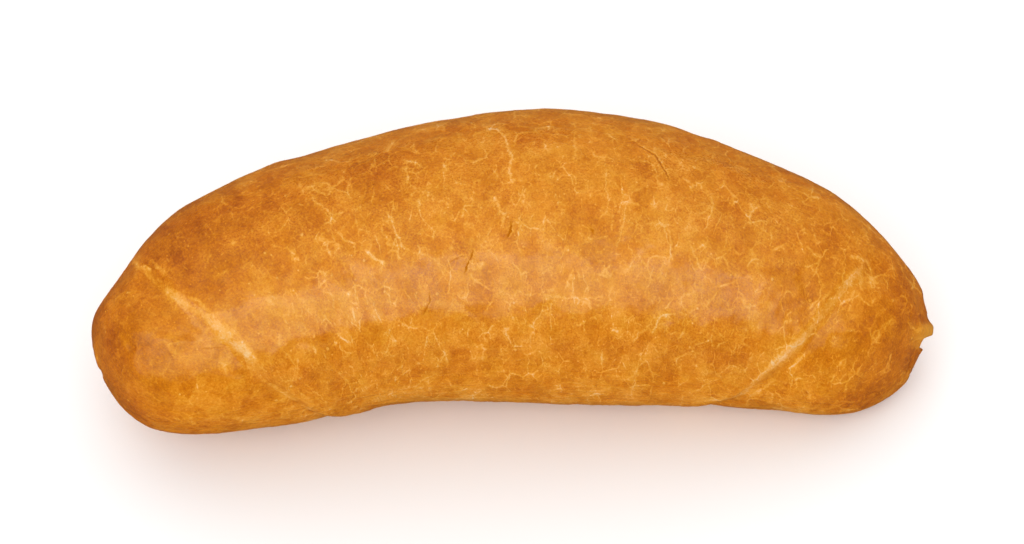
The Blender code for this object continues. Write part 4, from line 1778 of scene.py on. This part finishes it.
@dataclass(frozen=True)
class Baking:
    """What the oven and the brush did to the crust, from place to place, and where highlight and bounce light
    are painted into its colour.
    """

    spots: tuple = (
        BrowningAndPaintedHighlightSpot(-57.0, 108.0, 10.0, 1.15),
        BrowningAndPaintedHighlightSpot(-62.0, 150.0, 12.0, 0.5),
        BrowningAndPaintedHighlightSpot(-41.0, 106.0, 13.0, 0.45),
        BrowningAndPaintedHighlightSpot(57.5, 100.0, 6.0, 0.5),
        BrowningAndPaintedHighlightSpot(60.0, 84.0, 5.0, 0.4),
        BrowningAndPaintedHighlightSpot(-25.0, 112.0, 7.0, 0.35),
        BrowningAndPaintedHighlightSpot(-22.5, 94.0, 6.0, 0.25),
        BrowningAndPaintedHighlightSpot(-58.3, 102.0, 3.0, 0.5),
        BrowningAndPaintedHighlightSpot(-62.0, 12.0, 14.0, 0.22),
        BrowningAndPaintedHighlightSpot(5.0, 122.0, 15.0, 0.12),
        BrowningAndPaintedHighlightSpot(45.0, 118.0, 13.0, 0.15),
        # Below zero: painted highlight, paler patches where the glaze's highlight band falls.
        BrowningAndPaintedHighlightSpot(-34.0, 48.0, 10.0, -0.30),
        BrowningAndPaintedHighlightSpot(-50.0, 60.0, 9.0, -0.22),
        BrowningAndPaintedHighlightSpot(-68.0, 60.0, 9.0, -0.20),
        BrowningAndPaintedHighlightSpot(2.0, 66.0, 14.0, -0.16),
        BrowningAndPaintedHighlightSpot(30.0, 58.0, 11.0, -0.20),
        BrowningAndPaintedHighlightSpot(53.5, 130.0, 4.5, 0.60),
        BrowningAndPaintedHighlightSpot(-53.5, 48.0, 4.0, 0.60),
        BrowningAndPaintedHighlightSpot(-37.0, 65.0, 4.5, 0.55),
        BrowningAndPaintedHighlightSpot(-23.0, 5.0, 4.0, 0.45),
        BrowningAndPaintedHighlightSpot(27.0, 55.0, 4.0, 0.50),
        BrowningAndPaintedHighlightSpot(43.0, 10.0, 4.0, 0.45),
    )
    tip_brown: float = 0.85
    tip_brown_mm: tuple = (58.0, 80.0)
    # Painted light: the lower sides are made paler to stand in for bounce light from the table.
    painted_light_skirt: float = 0.30
    painted_light_skirt_deg: tuple = (15.0, -25.0)
    scar_angles: tuple = (
        -90.0, -45.0, 0.0, 15.0, 27.0, 43.0, 58.0, 71.0, 82.0, 104.0, 128.0, 150.0, 180.0, 270.0,
    )
    scar_left: tuple = (0.25, 0.2, 0.2, 0.3, 0.35, 0.5, 0.6, 0.5, 0.5, 0.5, 0.5, 0.45, 0.4, 0.25)
    scar_right: tuple = (0.2, 0.3, 0.4, 0.5, 0.5, 0.45, 0.35, 0.3, 0.35, 0.35, 0.4, 0.4, 0.4, 0.2)
    glaze_at_mm: tuple = (-80.0, -66.0, -52.0, -42.0, -30.0, 0.0, 12.0, 22.0, 34.0, 50.0, 60.0, 80.0)
    glaze_share: tuple = (0.2, 0.65, 0.9, 0.85, 1.0, 1.0, 0.9, 0.85, 1.0, 1.0, 0.6, 0.3)
    glaze_least: float = 0.1
    glaze_tip_mm: tuple = (50.0, 66.0)
    glaze_front_deg: tuple = (2.0, 26.0)
    glaze_tip_front_deg: tuple = (12.0, 56.0)
    glaze_back_deg: tuple = (25.0, 70.0)
    drawn_tight_deg: tuple = (24.0, -6.0)
    drawn_tight_least: float = 0.15
    blisters_mm: tuple = (20.0, -50.0)
    blister_shares: tuple = (0.12, 0.37)
    plain_tip: float = 0.65
    plain_tip_mm: tuple = (-38.0, -60.0)

    def browning_and_painted_light(self, dough: np.ndarray, angle: np.ndarray, form: DoughForm) -> np.ndarray:
        """Brown the tips and the spots, lighten the spots below zero with painted highlight, and lighten the
        skirt over the base with painted bounce light.

        Args:
            dough: Points on the straight dough, in millimetres.
            angle: The angle round it at each, in degrees.
            form: The dough.

        Returns:
            How brown each point is, less where highlight and bounce light are painted in.
        """
        total = self.tip_brown * smooth_step(*self.tip_brown_mm, np.abs(dough[:, 0]))
        for spot in self.spots:
            total += spot.share(dough, form)
        # Painted bounce light: the lower sides are lightened.
        return total - self.painted_light_skirt * smooth_step(*self.painted_light_skirt_deg, angle)

    def glazed(self, along: np.ndarray, steep: np.ndarray, behind: np.ndarray) -> np.ndarray:
        """Brush the egg wash over the top, less far down at the tips.

        Args:
            along: Distance from the middle, in millimetres.
            steep: Angle up the side, from 0 at its widest to 90 at the crown.
            behind: Whether each point is on the back.

        Returns:
            How much glaze each point has, from 0 to 1.
        """
        on_tip = smooth_step(*self.glaze_tip_mm, np.abs(along))
        front = np.array(self.glaze_front_deg)
        low, high = front[:, None] + (np.array(self.glaze_tip_front_deg) - front)[:, None] * on_tip
        share = np.where(behind, smooth_step(*self.glaze_back_deg, steep), smooth_step(low, high, steep))
        share *= np.interp(along, self.glaze_at_mm, self.glaze_share)
        return self.glaze_least + (1.0 - self.glaze_least) * share

    def store_on(self, mesh: bpy.types.Mesh, form: DoughForm) -> None:
        """Store what the finish reads.

        Args:
            mesh: The roll's mesh.
            form: The dough.
        """
        dough = read_attribute(mesh, "dough")
        angle = read_attribute(mesh, "angle")
        along = dough[:, 0]
        steep = np.degrees(np.arcsin(np.clip(np.sin(np.radians(angle)), -1.0, 1.0)))
        few, many = self.blister_shares
        torn_left = np.interp(angle, self.scar_angles, self.scar_left)
        torn_right = np.interp(angle, self.scar_angles, self.scar_right)
        # Browning, less where highlight and bounce light are painted in.
        store(mesh, "browning_and_painted_light", self.browning_and_painted_light(dough, angle, form))
        store(mesh, "scar_strength", np.where(along < 0.0, torn_left, torn_right))
        store(mesh, "glazed", self.glazed(along, steep, angle > 90.0))
        store(mesh, "drawn_tight", smooth_step(*self.drawn_tight_deg, steep) + self.drawn_tight_least)
        store(mesh, "blistered", few + (many - few) * smooth_step(*self.blisters_mm, along))
        store(mesh, "veined", 1.0 - self.plain_tip * smooth_step(*self.plain_tip_mm, along))


@dataclass
class CrescentRoll:
    """The crescent roll: its skin, the relief of its crust and its finish."""

    skin: RollSkin = field(default_factory=RollSkin)
    marks: MarkSheet = field(default_factory=MarkSheet)
    baking: Baking = field(default_factory=Baking)
    fissure_lip: float = 0.05
    mottle_height: float = 0.15
    ripple_size: float = 1.5
    ripple_height: float = 0.055

    def relief(self, roll: bpy.types.Object) -> None:
        """Raise the crust's plates and fissures in the mesh itself.

        Args:
            roll: The roll's object.
        """
        tree = bpy.data.node_groups.new("crust relief", "GeometryNodeTree")
        tree.interface.new_socket(name="Geometry", in_out="INPUT", socket_type="NodeSocketGeometry")
        tree.interface.new_socket(name="Geometry", in_out="OUTPUT", socket_type="NodeSocketGeometry")
        sketch = Sketch(tree)
        entry = sketch.add("NodeGroupInput")
        leave = sketch.add("NodeGroupOutput")
        place = named_field(sketch, "dough", "FLOAT_VECTOR")
        plates = CrustPlates().draw(sketch, {"Place": place})
        grain = CrustGrain().draw(sketch, {"Place": place})
        height_mm = sketch.total(
            plates["Tilt"],
            sketch.scaled(plates["Fissure"], self.fissure_lip),
            sketch.scaled(grain["Mottle"], self.mottle_height),
            sketch.waves(place, self.ripple_size, self.ripple_height, detail=1.0),
        )
        height = sketch.scaled(sketch.scaled(height_mm, MM), named_field(sketch, "off_base", "FLOAT"))
        offset = sketch.vector("SCALE", sketch.add("GeometryNodeInputNormal").outputs[0], height)
        move = sketch.add("GeometryNodeSetPosition")
        sketch.feed(move.inputs["Geometry"], entry.outputs["Geometry"])
        sketch.feed(move.inputs["Offset"], offset)
        sketch.feed(leave.inputs["Geometry"], move.outputs["Geometry"])
        roll.modifiers.new("crust relief", "NODES").node_group = tree
        graph = bpy.context.evaluated_depsgraph_get()
        mesh = bpy.data.meshes.new_from_object(
            roll.evaluated_get(graph), preserve_all_data_layers=True, depsgraph=graph)
        roll.modifiers.clear()
        roll.data = mesh

    def build(self) -> bpy.types.Object:
        """Build and dress the roll.

        Returns:
            The roll's object.
        """
        roll = self.skin.build()
        self.baking.store_on(roll.data, self.skin.form)
        self.marks.draw(roll.data, self.skin.form)
        self.relief(roll)
        roll.data.materials.clear()
        roll.data.materials.append(GlazedCrust().material())
        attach(roll, "root")
        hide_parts(NODE)
        return roll


def read_attribute(mesh: bpy.types.Mesh, name: str) -> np.ndarray:
    """Read what is stored on a mesh.

    Args:
        mesh: The mesh.
        name: The attribute's name.

    Returns:
        One number or one vector a point.
    """
    data = mesh.attributes[name].data
    is_vector = mesh.attributes[name].data_type == "FLOAT_VECTOR"
    flat = np.zeros(len(data) * (3 if is_vector else 1), dtype=np.float32)
    data.foreach_get("vector" if is_vector else "value", flat)
    flat = flat.astype(float)
    return flat.reshape(-1, 3) if is_vector else flat


def named_field(sketch: Sketch, name: str, kind: str) -> Socket:
    """Read an attribute in a geometry tree.

    Args:
        sketch: Takes the node.
        name: The attribute's name.
        kind: Its data type.

    Returns:
        The value's socket.
    """
    node = sketch.add("GeometryNodeInputNamedAttribute", data_type=kind)
    node.inputs["Name"].default_value = name
    return next(socket for socket in node.outputs if socket.enabled)


# ----------------------------------------------------------------------------------------------------
# Studio
# ----------------------------------------------------------------------------------------------------


@dataclass
class Studio:
    """A white table under one broad soft light in front and a dim dome, and the camera."""

    floor_half_size: float = 3.0
    floor_colour: Colour = (0.93, 0.93, 0.93)
    floor_in_gloss: Colour = (0.04, 0.04, 0.04)
    floor_roughness: float = 0.9
    light_tilt_deg: float = 35.5
    light_yaw_deg: float = -15.0
    light_distance: float = 1.4
    light_slide: float = -0.30
    light_height: float = 1.18
    light_width: float = 3.3
    light_x: float = -0.2
    light_radiance: float = 0.975
    dome_rise: tuple = (0.0, 0.8, 0.58, 0.98)
    dome_back: tuple = (0.0, 0.8, 0.0, 0.70)
    dome_seen: Colour = (0.93, 0.93, 0.93)
    gloss_dark: float = 0.012
    gloss_back: tuple = (0.80, -0.10, 0.0, 0.32)
    gloss_near: tuple = (0.05, -0.45, 0.0, 0.26)
    gloss_front: tuple = (-0.60, -0.45)
    gloss_side: tuple = (0.95, 0.60)
    elevation_deg: float = 55.0
    distance: float = 0.9
    clip_start: float = 0.05
    sensor_width: float = 36.0
    focal_length: float = 170.9
    aim_left: float = 0.00058
    aim_down: float = 0.00152

    def floor(self) -> bpy.types.Object:
        """Lay the white table, which looks dim where the glaze mirrors it.

        Returns:
            The table.
        """
        bm = bmesh.new()
        bmesh.ops.create_grid(bm, x_segments=1, y_segments=1, size=self.floor_half_size)
        mesh = bpy.data.meshes.new("table_top")
        bm.to_mesh(mesh)
        bm.free()
        material = bpy.data.materials.new("white table")
        material.use_nodes = True
        sketch = Sketch(material.node_tree)
        shader = material.node_tree.nodes["Principled BSDF"]
        in_gloss = sketch.add("ShaderNodeLightPath").outputs["Is Glossy Ray"]
        colour = sketch.mix(in_gloss, (*self.floor_colour, 1.0), (*self.floor_in_gloss, 1.0))
        sketch.feed(shader.inputs["Base Color"], colour)
        shader.inputs["Roughness"].default_value = self.floor_roughness
        shader.inputs["Specular IOR Level"].default_value = 0.0
        mesh.materials.append(material)
        table = bpy.data.objects.new("table_top", mesh)
        bpy.context.scene.collection.objects.link(table)
        table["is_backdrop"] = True
        return table

    def light(self) -> None:
        """Hang the broad light in front, tilted towards the roll."""
        tilt = math.radians(self.light_tilt_deg)
        data = bpy.data.lights.new("broad light", "AREA")
        data.shape = "RECTANGLE"
        data.size = self.light_width
        data.size_y = self.light_height
        data.energy = self.light_radiance * math.pi * self.light_width * self.light_height
        light = bpy.data.objects.new("broad light", data)
        light.location = (
            self.light_x,
            -self.light_distance * math.sin(tilt) + self.light_slide * math.cos(tilt),
            self.light_distance * math.cos(tilt) + self.light_slide * math.sin(tilt),
        )
        light.rotation_mode = "YXZ"
        light.rotation_euler = (tilt, math.radians(self.light_yaw_deg), 0.0)
        light.visible_camera = False
        bpy.context.scene.collection.objects.link(light)

    def dome(self) -> None:
        """Set the dome: soft light from all round, and a dimmer one for what the glaze mirrors."""
        world = bpy.data.worlds.new("dome")
        world.use_nodes = True
        bpy.context.scene.world = world
        sketch = Sketch(world.node_tree)
        direction = sketch.add("ShaderNodeTexCoord").outputs["Generated"]
        split = sketch.add("ShaderNodeSeparateXYZ")
        sketch.feed(split.inputs[0], direction)
        aside = sketch.math("ABSOLUTE", split.outputs["X"])
        back, up = split.outputs["Y"], split.outputs["Z"]
        glow = sketch.math("ADD", sketch.rise(up, *self.dome_rise), sketch.rise(back, *self.dome_back))
        overhead = sketch.total(sketch.rise(back, *self.gloss_back), sketch.rise(back, *self.gloss_near))
        overhead = sketch.scaled(overhead, sketch.rise(back, *self.gloss_front))
        overhead = sketch.scaled(overhead, sketch.rise(aside, *self.gloss_side))
        mirrored = sketch.math("ADD", overhead, self.gloss_dark)
        rays = sketch.add("ShaderNodeLightPath")
        lit = sketch.mix(rays.outputs["Is Glossy Ray"], glow, mirrored)
        seen = sketch.mix(rays.outputs["Is Camera Ray"], lit, (*self.dome_seen, 1.0))
        sketch.feed(world.node_tree.nodes["Background"].inputs["Color"], seen)

    def camera(self, centre: Vector) -> None:
        """Point the camera from the photograph's angle.

        Args:
            centre: The middle of the roll's box.
        """
        elevation = math.radians(self.elevation_deg)
        back = Vector((0.0, -math.cos(elevation), math.sin(elevation)))
        right = Vector((1.0, 0.0, 0.0))
        up = back.cross(right)
        aim = centre - self.aim_left * right - self.aim_down * up
        data = bpy.data.cameras.new("camera")
        data.sensor_width = self.sensor_width
        data.lens = self.focal_length
        data.clip_start = self.clip_start
        camera = bpy.data.objects.new("camera", data)
        camera.location = aim + self.distance * back
        camera.rotation_euler = (-back).to_track_quat("-Z", "Y").to_euler()
        bpy.context.scene.collection.objects.link(camera)
        bpy.context.scene.camera = camera


def main() -> None:
    """Build the roll and the studio."""
    logging.basicConfig(level=logging.INFO, format="%(name)s: %(message)s")
    cad_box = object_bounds()
    roll = CrescentRoll().build()
    LOG.info("%s: %d faces", roll.name, len(roll.data.polygons))
    studio = Studio()
    table = studio.floor()
    LOG.info("%s: laid", table.name)
    studio.light()
    studio.dome()
    low, high = cad_box
    studio.camera((low + high) / 2.0)
    bpy.context.scene.view_settings.view_transform = "Standard"


if __name__ == "__main__":
    main()
